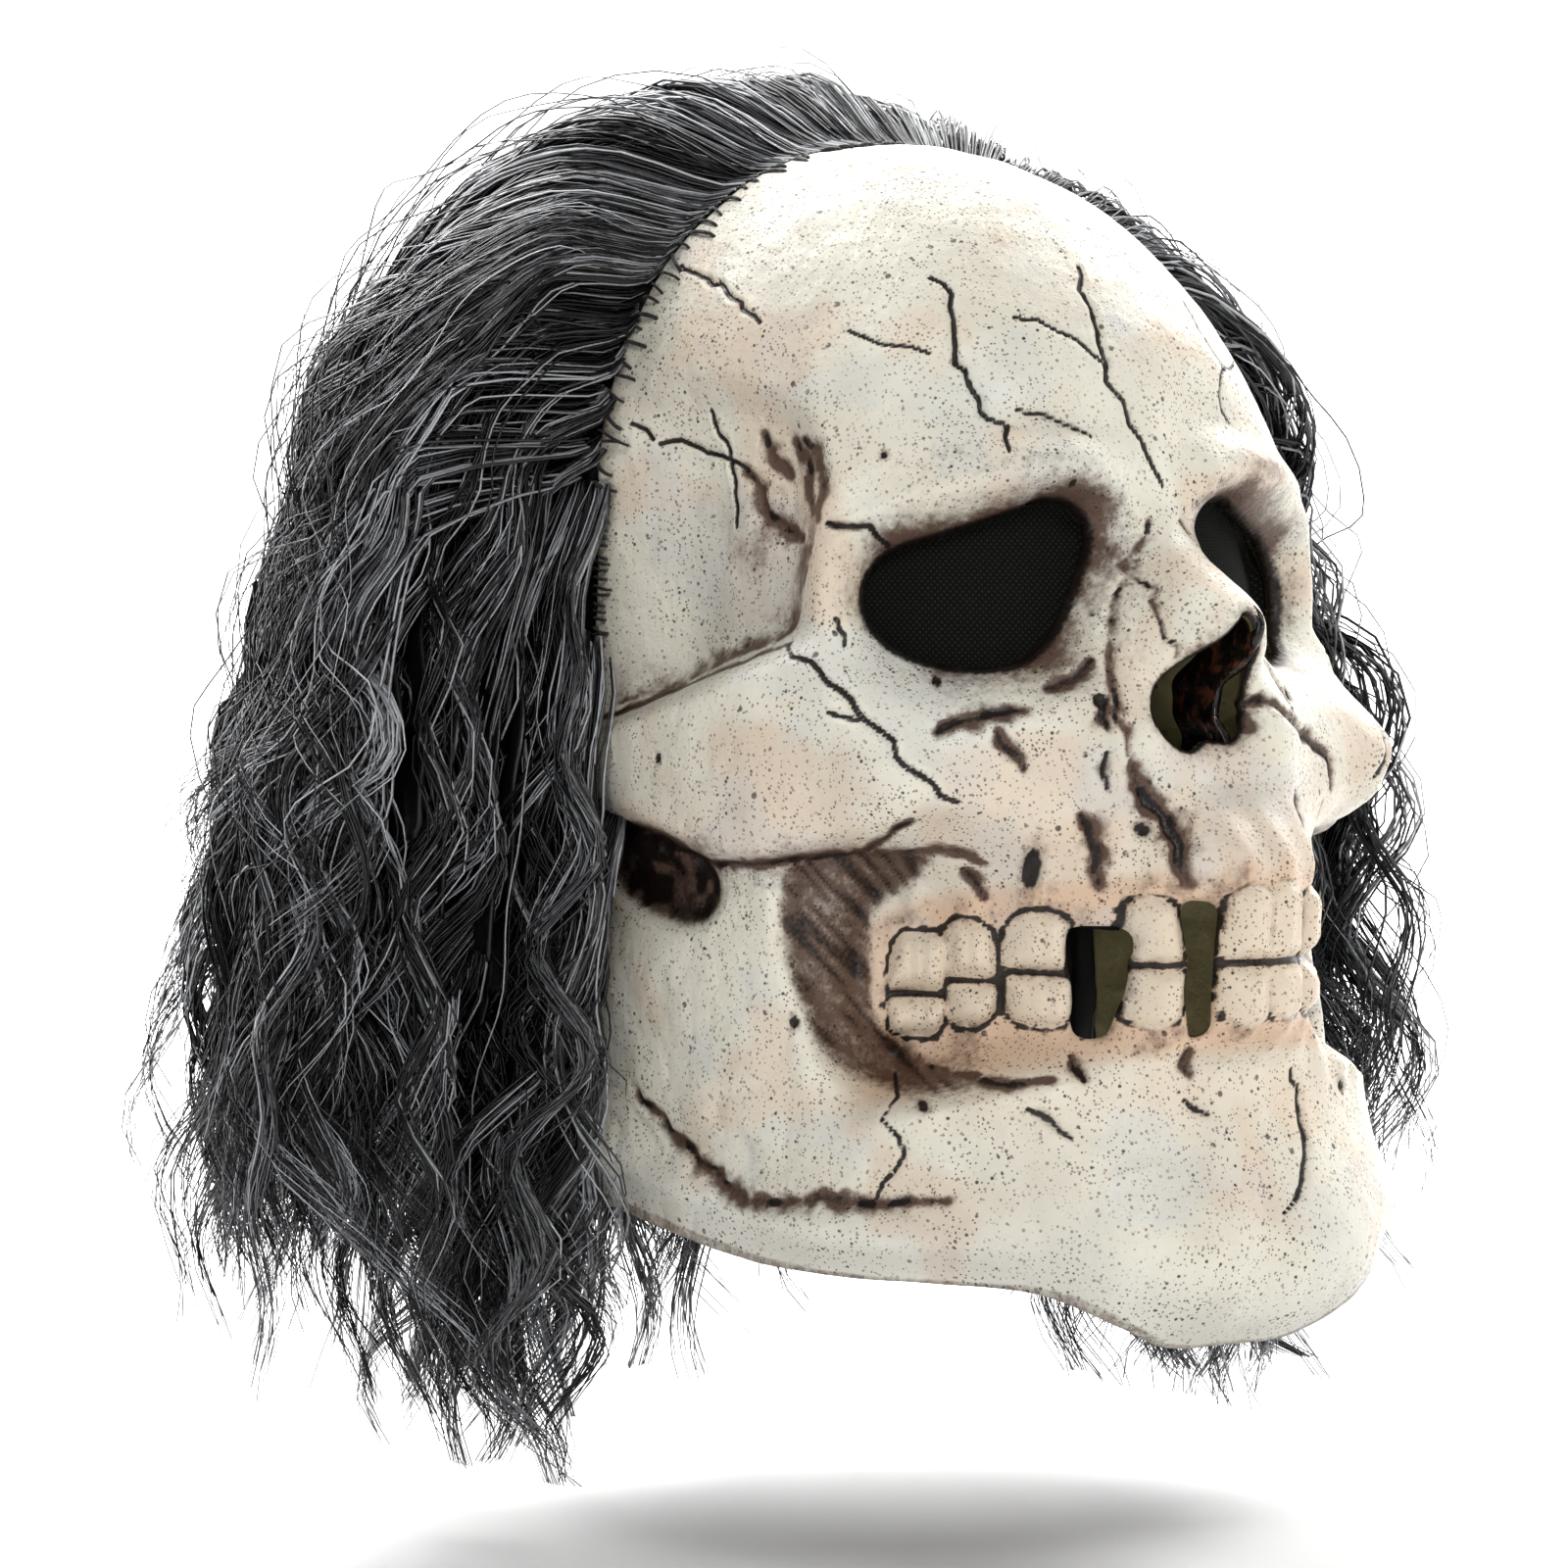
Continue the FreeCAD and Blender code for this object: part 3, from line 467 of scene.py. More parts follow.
def carve(place, angle, z, ink, brown):
    """Depth of the strokes and pits at each place, adding their ink and brown."""
    depth = np.zeros(len(place))
    for width, deep, dark, wash, points in STROKES:
        dense = []
        for k in range(len(points) - 1):
            (a0, z0), (a1, z1) = points[k], points[k + 1]
            steps = max(2, int(math.hypot((a1 - a0) * 1.9, z1 - z0) / 3.0))
            for t in np.arange(steps) / steps:
                wobble = 0.35 * math.sin(7.3 * (k + t) + a0)
                dense.append((a0 + (a1 - a0) * t + wobble, z0 + (z1 - z0) * t + 0.6 * wobble))
        dense.append(points[-1])
        dense = np.array(dense)
        margin = width * 5 + 4
        near = ((angle > dense[:, 0].min() - margin) & (angle < dense[:, 0].max() + margin)
                & (z > dense[:, 1].min() - margin) & (z < dense[:, 1].max() + margin))
        index = np.nonzero(near)[0]
        if not len(index):
            continue
        off_x = (angle[index, None] - dense[None, :, 0]) * BONE_DEGREE_MM
        off_z = z[index, None] - dense[None, :, 1]
        line = place[index[np.argmin(off_x ** 2 + off_z ** 2, 0)]]
        best = np.full(len(index), FAR)
        along = np.zeros(len(index))
        here = place[index]
        for k in range(len(line) - 1):
            e = line[k + 1] - line[k]
            t = np.clip(((here - line[k]) @ e) / max(float(e @ e), TINY), 0, 1)
            d = np.linalg.norm(here - line[k] - t[:, None] * e, axis=1)
            closer = d < best
            best = np.where(closer, d, best)
            along = np.where(closer, (k + t) / (len(line) - 1), along)
        taper = 0.35 + 0.65 * np.sin(np.pi * np.clip(along, 0.04, 0.96)) ** 0.5
        ragged = 1.0 + 0.35 * noise(here, 3.0, 5) + 0.2 * noise(here, 1.3, 6)
        thick = width * taper * ragged
        depth[index] += 1.45 * deep * taper * np.exp(-(best / (thick * 0.9)) ** 2)
        depth[index] -= 0.15 * deep * taper * np.exp(-((best - thick * 2.2) / (thick * 0.9)) ** 2)
        ink[index] = np.maximum(ink[index], dark * np.exp(-(best / np.maximum(thick * 0.62, 0.62)) ** 3))
        soft = 0.55 * np.exp(-(best / (thick * 1.1)) ** 2) + 0.5 * np.exp(-best / (thick * 1.5))
        brown[index] = np.maximum(brown[index], wash * soft * (0.9 + 0.45 * noise(here, 2.6, 8)))
        if width >= 1.0:
            broken = smooth(-0.15, 0.35, noise(here, 3.4, 9))
            core = np.exp(-(best / np.maximum(thick * 0.55, 0.62)) ** 3)
            ink[index] = np.maximum(ink[index], 0.9 * core * broken)
    for a0, z0, half_x, half_z, deep, dark in PITS:
        out = np.hypot((angle - a0) * DEGREE_MM["nose"] / half_x, (z - z0) / half_z)
        depth += deep * np.exp(-out ** 3)
        raise_to(ink, dark * smooth(1.25, 0.7, out))
        raise_to(brown, 0.6 * np.exp(-(out / 2.0) ** 2))
    return depth


def outside_hollow(angle, z, points):
    """Distance in mm outside a closed outline in (angle, z), negative inside it."""
    return outline_distance(angle * BONE_DEGREE_MM, z, closed_curve(points, BONE_DEGREE_MM))[0]


def in_hollow(angle, z, points, soft):
    """1 inside a closed outline, falling to 0 over the soft distance in mm."""
    return smooth(soft, -soft, outside_hollow(angle, z, points))


# Raised and sunken areas of bone on the wearer's right; the left is their mirror image.
CHEEKBONE = [(-94, -37), (-84, -30), (-74, -26), (-61, -19), (-47.5, -11.5), (-41, -19), (-36, -30),
             (-29, -42), (-31, -51), (-42, -57), (-57, -60), (-72, -54), (-86, -49), (-94, -48)]
TEMPLE = [(-94, -34), (-84, -28), (-74, -24), (-61, -17), (-48.5, -10), (-45.5, 2), (-43.5, 16), (-43, 27),
          (-48, 37), (-58, 44), (-74, 44), (-94, 36)]
BESIDE_TEETH = [(-47, -61), (-38, -57), (-30, -59), (-32, -66), (-36.6, -72), (-37, -85), (-36, -97),
                (-31, -103), (-26, -108), (-33, -111), (-41, -105), (-45, -92), (-48, -76)]
ARCH_HOLLOW = [(-85.5, -57), (-76, -53), (-65, -55), (-59.5, -61), (-58.5, -71), (-64, -76), (-77, -72),
               (-84.5, -64)]


def paint(place, angle, z, lip, ink, brown, tan, grey):
    """Airbrush: brown in the hollows, tan round the teeth, faint blue grey, black rims, with painted shade
    under the brows, cheekbones and arches.
    """
    a = np.abs(angle)
    eye = np.minimum(lip["eye"], 60.0)
    drift = 0.75 + 0.35 * noise(place, 11.0, 21) + 0.2 * noise(place, 4.0, 22)
    # Brown wash round the eye openings, made stronger at their top and nose side as painted shade under the
    # brow and on the sunken inner wall there.
    under_brow_shade = 0.55 + 0.55 * np.maximum(smooth(26.0, 12.0, a), smooth(2.0, 14.0, z))
    raise_to(brown, 1.2 * np.exp(-np.maximum(eye - 1.0, 0) / 6.0) * drift * under_brow_shade)
    raise_to(ink, 0.85 * np.exp(-(np.maximum(eye, 0) / 1.6) ** 2))
    over_eye = bell(a, 21.0, 15.0) * bell(z, 27.0, 7.0)
    raise_to(brown, 0.45 * over_eye * drift)
    nose = np.minimum(lip["nose"], 60.0)
    raise_to(brown, 0.8 * np.exp(-np.maximum(nose, 0) / 3.2) * drift)
    raise_to(brown, 0.55 * bell(a, 9.5, 3.0) * bell(z, -6.0, 16.0) * drift)
    raise_to(ink, 0.8 * np.exp(-(np.maximum(nose, 0) / 0.9) ** 2))
    for mirror in (1, -1):
        # Black and brown in the sunken place under each arch: a dark wash that also stands for painted shade
        # under the arch.
        arch_hollow_shade = in_hollow(mirror * angle, z, ARCH_HOLLOW, 2.6)
        raise_to(ink, arch_hollow_shade * (0.50 + 0.45 * noise(place, 3.2, 3)))
        raise_to(brown, 1.0 * arch_hollow_shade)
        cheek = in_hollow(mirror * angle, z, BESIDE_TEETH, 3.0)
        inner = -outside_hollow(mirror * angle, z, BESIDE_TEETH)
        streak = np.stack([(angle * BONE_DEGREE_MM + 0.8 * z) / 1.5, (z - 0.6 * angle) / 12.0, 0 * z], -1)
        lines = smooth(-0.1, 0.5, noise(streak, 1.0, 4))
        raise_to(brown, cheek * (0.62 + 0.3 * lines + 0.35 * np.exp(-np.maximum(inner, 0) / 3.0)))
        raise_to(ink, cheek * (0.45 * lines + 0.25 * np.exp(-np.maximum(inner, 0) / 2.5)))
        temple = in_hollow(mirror * angle, z, TEMPLE, 0.6)
        deep = -outside_hollow(mirror * angle, z, TEMPLE)
        front = smooth(96.0, 78.0, -mirror * angle) * smooth(46.0, 24.0, z)
        wash = temple * np.exp(-np.maximum(deep, 0) / 5.0) * front
        raise_to(brown, 1.05 * wash * (0.8 + 0.5 * noise(place, 3.0, 52)))
        # Painted shadow: a brown band just under each cheekbone, where the bulge shades the cheek below it.
        below = in_hollow(mirror * angle, z + 4.5, CHEEKBONE, 2.5)
        below = below * (1 - in_hollow(mirror * angle, z, CHEEKBONE, 1.5))
        raise_to(brown, 0.62 * below * drift * smooth(30.0, 42.0, np.abs(angle)))
    temple = bell(a, 55.0, 9.0) * bell(z, 14.0, 15.0)
    raise_to(brown, 0.65 * temple * smooth(-0.2, 0.5, noise(place, 8.0, 9)) * drift)
    # Painted shadow: brown along the cheek under the cheekbones.
    under_cheek_shadow = smooth(30.0, 40.0, a) * bell(z, -62.0, 9.0) * smooth(92.0, 60.0, a)
    raise_to(brown, 0.7 * under_cheek_shadow * drift)
    around = smooth(9.0, 2.0, np.abs(z - bite_height(a)) - 15.0) * smooth(44.0, 33.0, a)
    raise_to(brown, 0.42 * around * smooth(-0.3, 0.5, noise(place, 6.0, 55)))
    raise_to(tan, 1.0 * around)
    maxilla = bell(a, 12.0, 16.0) * bell(z, -54.0, 13.0)
    raise_to(tan, 0.7 * maxilla * drift)
    raise_to(tan, 0.4 * bell(a, 14.0, 20.0) * bell(z, -108.0, 11.0) * drift)
    patch = smooth(0.0, 0.55, noise(place, 19.0, 31) + 0.35 * noise(place, 7.0, 32))
    raise_to(tan, 0.45 * patch)
    grey[:] = smooth(0.05, 0.6, noise(place, 15.0, 41) + 0.3 * noise(place, 5.0, 42)) * 0.6
    raise_to(grey, 0.5 * bell(z, rim_height(angle) + 5.0, 9.0))
    edge = smooth(1.6, 0.4, z - rim_height(angle))
    raise_to(brown, 0.5 * edge)


def skull():
    """The latex: an outer and an inner surface on one grid, closed round the rim and every opening."""
    u = np.linspace(-1, 1, COLUMNS + 1)[None, :]
    share = (np.arange(WALL_ROWS) / WALL_ROWS)[:, None]
    low = rim_height(97.0 * u)
    wall_z = low + (DOME_Z - low) * share
    wall_angle = u * rear_angle(wall_z)

    face_z = wall_z[:-1, :-1] / 2 + wall_z[1:, 1:] / 2
    face_angle = wall_angle[:-1, :-1] / 2 + wall_angle[1:, 1:] / 2
    keep = np.ones((WALL_ROWS + DOME_ROWS, COLUMNS), bool)
    for kind, curve in OPENINGS:
        scale = DEGREE_MM[kind]
        hole = outline_distance(face_angle * scale, face_z, curve)[0] < 0
        keep[:WALL_ROWS - 1] &= ~hole
        touched = np.zeros(wall_z.shape, bool)
        spared = np.zeros(wall_z.shape, bool)
        for dj in (0, 1):
            for di in (0, 1):
                touched[dj:WALL_ROWS - 1 + dj, di:COLUMNS + di] |= hole
                spared[dj:WALL_ROWS - 1 + dj, di:COLUMNS + di] |= ~hole
        border = touched & spared
        _, near_x, near_z = outline_distance(wall_angle[border] * scale, wall_z[border], curve)
        wall_angle[border] = near_x / scale
        wall_z[border] = near_z

    b = (np.arange(DOME_ROWS + 1) / DOME_ROWS)[:, None]
    p, q = u * np.sqrt(1 - b * b / 2), b * np.sqrt(1 - u * u / 2)
    place = np.concatenate([wall_point(wall_angle, wall_z), dome_point(p, q)], 0)
    rows, cols = place.shape[:2]
    flat = place.reshape(-1, 3)
    angle = np.degrees(np.arctan2(flat[:, 0], SEAM_Y - flat[:, 1]))
    z = flat[:, 2]

    lip = {"eye": np.full(len(flat), 1e3), "nose": np.full(len(flat), 1e3), "gap": np.full(len(flat), 1e3)}
    near = (np.abs(angle) < 75) & (z < 60)
    for kind, curve in OPENINGS:
        d = np.full(len(flat), 1e3)
        d[near] = outline_distance(angle[near] * DEGREE_MM[kind], z[near], curve)[0]
        lip[kind] = np.minimum(lip[kind], np.maximum(d, 0.0))

    ink, brown, tan, grey = (np.zeros(len(flat)) for _ in range(4))
    lift, tooth_ink, tooth_tan, crown, tooth_edge_shade = teeth(angle, z)
    lift -= carve(flat, angle, z, ink, brown)
    lift -= 9.0 * np.exp(-lip["eye"] / 6.5)
    lift -= 1.6 * np.exp(-lip["eye"] / 2.0)
    lift += 1.8 * bell(lip["eye"], 11.0, 5.5) * smooth(4.0, 12.0, np.abs(angle)) * (lip["eye"] < 40)
    lift -= 3.6 * np.exp(-lip["nose"] / 2.4)
    lift -= 1.4 * np.exp(-lip["gap"] / 1.2)
    for mirror in (1, -1):
        lift -= 3.5 * in_hollow(mirror * angle, z, ARCH_HOLLOW, 3.0)
        lift += 5.0 * in_hollow(mirror * angle, z, CHEEKBONE, 5.0)
        lift -= 4.0 * in_hollow(mirror * angle, z, TEMPLE, 5.0) * smooth(95.0, 70.0, mirror * -angle)
        lift -= 5.5 * in_hollow(mirror * angle, z, BESIDE_TEETH, 3.5)
    ramus = smooth(46.0, 52.0, np.abs(angle)) * smooth(-72.0, -84.0, z)
    lift += 1.6 * ramus * smooth(-132.0, -118.0, z)
    lift += 3.0 * bell(z, rim_height(angle) + 9.0, 5.0) * smooth(20.0, 30.0, np.abs(angle))
    lift -= 2.6 * bell(z, rim_height(angle) + 20.0, 6.0) * smooth(26.0, 36.0, np.abs(angle)) \
        * smooth(84.0, 60.0, np.abs(angle))
    calm = 1.0 - 0.6 * crown
    lift += calm * (0.55 * noise(flat, 17.0, 1) + 0.28 * noise(flat, 7.0, 2) + 0.10 * noise(flat, 2.6, 3))
    folds = np.abs(noise(flat, 9.0, 14)) ** 0.6
    lift += 0.45 * (folds - 0.5) * smooth(-92.0, -110.0, z)
    lift += 0.35 * (folds - 0.5) * smooth(38.0, 55.0, np.abs(angle))
    brow = bell(z, 26.0, 9.0) * smooth(42.0, 30.0, np.abs(angle))
    lift += 0.5 * brow * (np.abs(noise(flat, 5.5, 17)) ** 0.7 - 0.4)

    ink = np.maximum(ink, tooth_ink * (0.92 + 0.08 * noise(flat, 3.0, 12)))
    paint(flat, angle, z, lip, ink, brown, tan, grey)
    tan = np.maximum(tan, tooth_tan)
    brown = np.maximum(brown, 0.5 * tooth_tan * smooth(0.0, 0.5, noise(flat, 3.5, 13)))
    ink = ink * (1 - crown * (1 - 0.9 * smooth(2.2, 0.0, lip["gap"])))
    # Painted shade at the teeth's rounded edges, in brown and tan.
    brown = brown * (1 - 0.75 * crown) + 0.34 * tooth_edge_shade * (0.8 + 0.4 * noise(flat, 2.5, 56))
    tan = np.maximum(tan, 0.55 * tooth_edge_shade)

    out = np.stack([np.sin(np.radians(angle)), -np.cos(np.radians(angle)), 0 * angle], -1)
    centre = np.array([0.0, SEAM_Y, DOME_Z])
    ray = (flat - centre) / np.linalg.norm(flat - centre, axis=1)[:, None]
    out = np.where((z > DOME_Z)[:, None], ray, out)
    flat = flat + out * lift[:, None]

    place = flat.reshape(rows, cols, 3)
    normal = grid_normals(place)
    for _ in range(NORMAL_BLURS):
        blurred = normal.copy()
        blurred[1:-1, 1:-1] = (normal[1:-1, 1:-1] + normal[:-2, 1:-1] + normal[2:, 1:-1]
                               + normal[1:-1, :-2] + normal[1:-1, 2:]) / 5
        normal = unit(blurred)
    inner = place - normal * LATEX_WALL

    quads = grid_quads(rows, cols)[keep.ravel()]
    edges = np.concatenate([quads[:, [k, (k + 1) % 4]] for k in range(4)], 0)
    key = np.minimum(edges[:, 0], edges[:, 1]) * (rows * cols) + np.maximum(edges[:, 0], edges[:, 1])
    _, first, count = np.unique(key, return_index=True, return_counts=True)
    border = edges[first[count == 1]]
    total = rows * cols
    rim = np.stack([border[:, 1], border[:, 0], border[:, 0] + total, border[:, 1] + total], -1)
    faces = np.concatenate([quads, quads[:, ::-1] + total, rim], 0)
    vertices = np.concatenate([place.reshape(-1, 3), inner.reshape(-1, 3)], 0)
    used = np.unique(faces)
    renumber = np.zeros(len(vertices), np.int64)
    renumber[used] = np.arange(len(used))
    piece = new_mesh("skull_latex", vertices[used], renumber[faces])
    for layer, values in (("ink", ink), ("brown", brown), ("tan", tan), ("grey", grey), ("tooth", crown)):
        give(piece, layer, np.concatenate([values, values])[used])
    give(piece, "inside", np.concatenate([np.zeros(total), np.ones(total)])[used])
    return piece


# ---- materials ----
class Nodes:
    """Short ways to make and link shader nodes in one material."""

    def __init__(self, name):
        self.material = bpy.data.materials.new(name)
        self.material.use_nodes = True
        self.tree = self.material.node_tree
        self.shader = next(n for n in self.tree.nodes if n.type == "BSDF_PRINCIPLED")
        self.place = self.tree.nodes.new("ShaderNodeTexCoord").outputs["Object"]

    def put(self, kind, inputs=None, **settings):
        node = self.tree.nodes.new(kind)
        for key, value in settings.items():
            setattr(node, key, value)
        for key, value in (inputs or {}).items():
            self.set(node.inputs[key], value)
        return node

    def set(self, socket, value):
        if isinstance(value, bpy.types.NodeSocket):
            self.tree.links.new(value, socket)
        elif isinstance(value, tuple) and len(value) == 3 and socket.type == "RGBA":
            socket.default_value = (*value, 1.0)
        else:
            socket.default_value = value

    def attribute(self, name):
        return self.put("ShaderNodeAttribute", attribute_name=name).outputs["Fac"]

    def math(self, operation, a, b=0.0, clamp=False):
        node = self.put("ShaderNodeMath", {0: a, 1: b}, operation=operation, use_clamp=clamp)
        return node.outputs[0]

    def mix(self, share, a, b):
        node = self.put("ShaderNodeMix", {0: share, 6: a, 7: b}, data_type="RGBA")
        return node.outputs[2]

    def noise(self, scale, detail=3.0, roughness=0.5):
        node = self.put("ShaderNodeTexNoise", {"Vector": self.place, "Scale": scale,
                                               "Detail": detail, "Roughness": roughness})
        return node.outputs["Fac"]

    def step(self, value, low, high, a=0.0, b=1.0):
        node = self.put("ShaderNodeMapRange", {0: value, 1: low, 2: high, 3: a, 4: b},
                        interpolation_type="SMOOTHSTEP")
        return node.outputs[0]

    def bump(self, height, strength, distance, under=None):
        inputs = {"Height": height, "Strength": strength, "Distance": distance}
        if under is not None:
            inputs["Normal"] = under
        return self.put("ShaderNodeBump", inputs).outputs["Normal"]

    def surface(self, colour, rough, specular=None):
        """Sets the colour, the roughness and, if it isn't the usual one, the reflection's strength."""
        self.set(self.shader.inputs["Base Color"], colour)
        self.set(self.shader.inputs["Roughness"], rough)
        if specular is not None:
            self.shader.inputs["Specular IOR Level"].default_value = specular

    def finish(self, normal):
        """Sets the bump and gives the finished material."""
        self.set(self.shader.inputs["Normal"], normal)
        return self.material

    def speckles(self, scale, size, share):
        """Small round spots: 1 on a spot, with a share of the cells having one."""
        cells = self.put("ShaderNodeTexVoronoi", {"Vector": self.place, "Scale": scale, "Randomness": 1.0})
        spot = self.step(cells.outputs["Distance"], size, size * 0.6)
        chance = self.put("ShaderNodeSeparateColor", {0: cells.outputs["Color"]}).outputs[0]
        return self.math("MULTIPLY", spot, self.step(chance, share, share - 0.02))


def latex_material():
    m = Nodes("latex_painted")
    cream = m.mix(m.step(m.noise(28.0, 4.0), 0.35, 0.65), (0.70, 0.675, 0.585), (0.62, 0.585, 0.50))
    cream = m.mix(m.math("MULTIPLY", m.attribute("tan"), 0.85), cream, (0.60, 0.425, 0.30))
    cream = m.mix(m.math("MULTIPLY", m.attribute("grey"), 0.45), cream, (0.50, 0.53, 0.56))
    cream = m.mix(m.math("MULTIPLY", m.attribute("tooth"), 0.55), cream, (0.71, 0.665, 0.55))
    # The brown layer holds the airbrushed wash and also the painted shade under the brows, cheekbones and
    # arches and at the teeth's edges.
    grain = m.math("SUBTRACT", m.noise(520.0, 4.0, 0.65), 0.5)
    wash = m.math("ADD", m.attribute("brown"), m.math("MULTIPLY", grain, 0.75))
    wash = m.math("MULTIPLY", m.step(wash, 0.16, 0.80), m.step(m.attribute("brown"), 0.02, 0.18))
    colour = m.mix(m.math("MULTIPLY", wash, 0.93), cream, (0.085, 0.042, 0.027))
    patchy = m.step(m.noise(48.0, 3.0), 0.34, 0.60, 0.25, 1.0)
    fine = m.math("MULTIPLY", m.speckles(1250.0, 0.36, 0.42), patchy)
    coarse = m.math("MULTIPLY", m.speckles(520.0, 0.27, 0.30), patchy)
    blots = m.math("MULTIPLY", m.speckles(190.0, 0.17, 0.17), m.step(m.noise(700.0), 0.3, 0.5))
    brown_spots = m.speckles(760.0, 0.34, 0.34)
    colour = m.mix(m.math("MULTIPLY", brown_spots, 0.62), colour, (0.17, 0.085, 0.05))
    colour = m.mix(m.math("MULTIPLY", fine, 0.82), colour, (0.03, 0.024, 0.02))
    colour = m.mix(m.math("MULTIPLY", coarse, 0.88), colour, (0.018, 0.014, 0.012))
    colour = m.mix(m.math("MULTIPLY", blots, 0.8), colour, (0.03, 0.02, 0.016))
    # The ink layer holds black paint, and in the hollows under the arches also painted shade.
    fray = m.math("MULTIPLY", m.math("SUBTRACT", m.noise(900.0), 0.5), 0.5)
    ragged = m.math("ADD", m.attribute("ink"), fray)
    inked = m.step(ragged, 0.22, 0.62)
    colour = m.mix(m.math("MULTIPLY", inked, 0.96), colour, (0.012, 0.009, 0.008))
    olive = m.mix(m.step(m.noise(90.0, 4.0), 0.3, 0.7), (0.26, 0.225, 0.115), (0.34, 0.30, 0.17))
    colour = m.mix(m.step(m.attribute("inside"), 0.4, 0.6), colour, olive)
    rough = m.step(m.noise(160.0, 4.0), 0.3, 0.7, 0.34, 0.50)
    rough = m.math("SUBTRACT", rough, m.math("MULTIPLY", inked, 0.08))
    m.surface(colour, rough, 0.32)
    grain = m.bump(m.noise(1400.0, 3.0, 0.6), 0.4, 0.0003)
    return m.finish(m.bump(m.noise(330.0, 4.0, 0.6), 0.55, 0.0008, grain))


def cloth_material(name, colour, thread, pitch):
    """A dark stretch cloth with a small grid of pinholes."""
    m = Nodes(name)
    waves = [m.math("SINE", m.math("MULTIPLY", m.attribute(name), 2 * math.pi / pitch))
             for name in ("across", "along")]
    hole = m.step(m.math("MULTIPLY", *waves), 0.25, 0.6)
    knit = m.noise(2200.0, 2.0)
    body = m.mix(knit, colour, thread)
    m.surface(m.mix(m.math("MULTIPLY", hole, 0.9), body, (0.028, 0.028, 0.020)),
              m.step(knit, 0.3, 0.7, 0.75, 0.85), 0.12)
    return m.finish(m.bump(m.math("ADD", m.math("MULTIPLY", hole, -1.0), knit), 0.6, 0.0004))


def plain_cloth(name, colour, thread, scale, rough):
    """A dark woven or knitted cloth with a fine wave in it."""
    m = Nodes(name)
    weave = m.put("ShaderNodeTexWave", {"Vector": m.place, "Scale": scale, "Distortion": 1.5, "Detail": 2.0})
    body = m.mix(weave.outputs["Fac"], colour, thread)
    m.surface(m.mix(m.math("MULTIPLY", m.noise(60.0), 0.4), body, thread),
              m.step(m.noise(500.0), 0.3, 0.7, rough - 0.12, rough))
    m.shader.inputs["Sheen Weight"].default_value = 0.2
    return m.finish(m.bump(weave.outputs["Fac"], 0.5, 0.0005))


def hair_material(name, dark=1.0):
    """Charcoal strands with silver among them, from the shade stored on each strand: the silver is partly
    grey fibre and partly painted highlight. With dark below 1 the colour is mixed towards near black, as
    painted shade deep in the hair.
    """
    m = Nodes(name)
    shade = m.attribute("shade")
    streak = m.math("MULTIPLY", m.math("SUBTRACT", m.noise(700.0, 2.0), 0.5), 0.25)
    tone = m.math("ADD", shade, streak, clamp=True)
    colour = m.mix(m.step(tone, 0.15, 0.55), (0.009, 0.009, 0.010), (0.050, 0.050, 0.054))
    colour = m.mix(m.step(tone, 0.55, 1.0), colour, (0.46, 0.47, 0.49))
    # Painted shade: below 1, dark mixes the colour towards near black, for the shade deep in the hair.
    if dark < 1.0:
        colour = m.mix(1.0 - dark, colour, (0.004, 0.004, 0.004))
    m.surface(colour, m.step(m.noise(900.0), 0.3, 0.7, 0.28, 0.40), 0.6)
    return m.finish(m.bump(m.noise(2500.0, 2.0), 0.3, 0.0002))


def glossy_paint():
    """Black paint with a red brown tinge, wet to the eye."""
    m = Nodes("black_gloss_paint")
    tone = m.mix(m.step(m.noise(260.0, 3.0), 0.45, 0.7), (0.010, 0.008, 0.007), (0.11, 0.045, 0.025))
    m.surface(tone, 0.16)
    return m.finish(m.bump(m.noise(240.0, 3.0), 0.7, 0.0012))


def matte(name, colour):
    m = Nodes(name)
    m.surface(m.mix(m.math("MULTIPLY", m.noise(3.0), 0.06), colour, (0.80, 0.80, 0.80)), 0.9)
    return m.material


# ---- sheets and tubes ----
TUBE_GUIDE = np.array([0.31, 0.77, 0.55])    # no strand runs along it, so it gives each a side


def closed_sheet(name, top, wall):
    """A closed thin piece from a grid of points in mm, as thick as wall towards the inside."""
    rows, cols = top.shape[:2]
    below = top - grid_normals(top) * wall
    index = np.arange(rows * cols).reshape(rows, cols)
    quads = grid_quads(rows, cols)
    ring = np.concatenate([index[0, :], index[1:, -1], index[-1, -2::-1], index[-2:0:-1, 0]])
    after = np.roll(ring, -1)
    side = np.stack([after, ring, ring + rows * cols, after + rows * cols], -1)
    faces = np.concatenate([quads, quads[:, ::-1] + rows * cols, side], 0)
    return new_mesh(name, np.concatenate([top.reshape(-1, 3), below.reshape(-1, 3)]), faces)


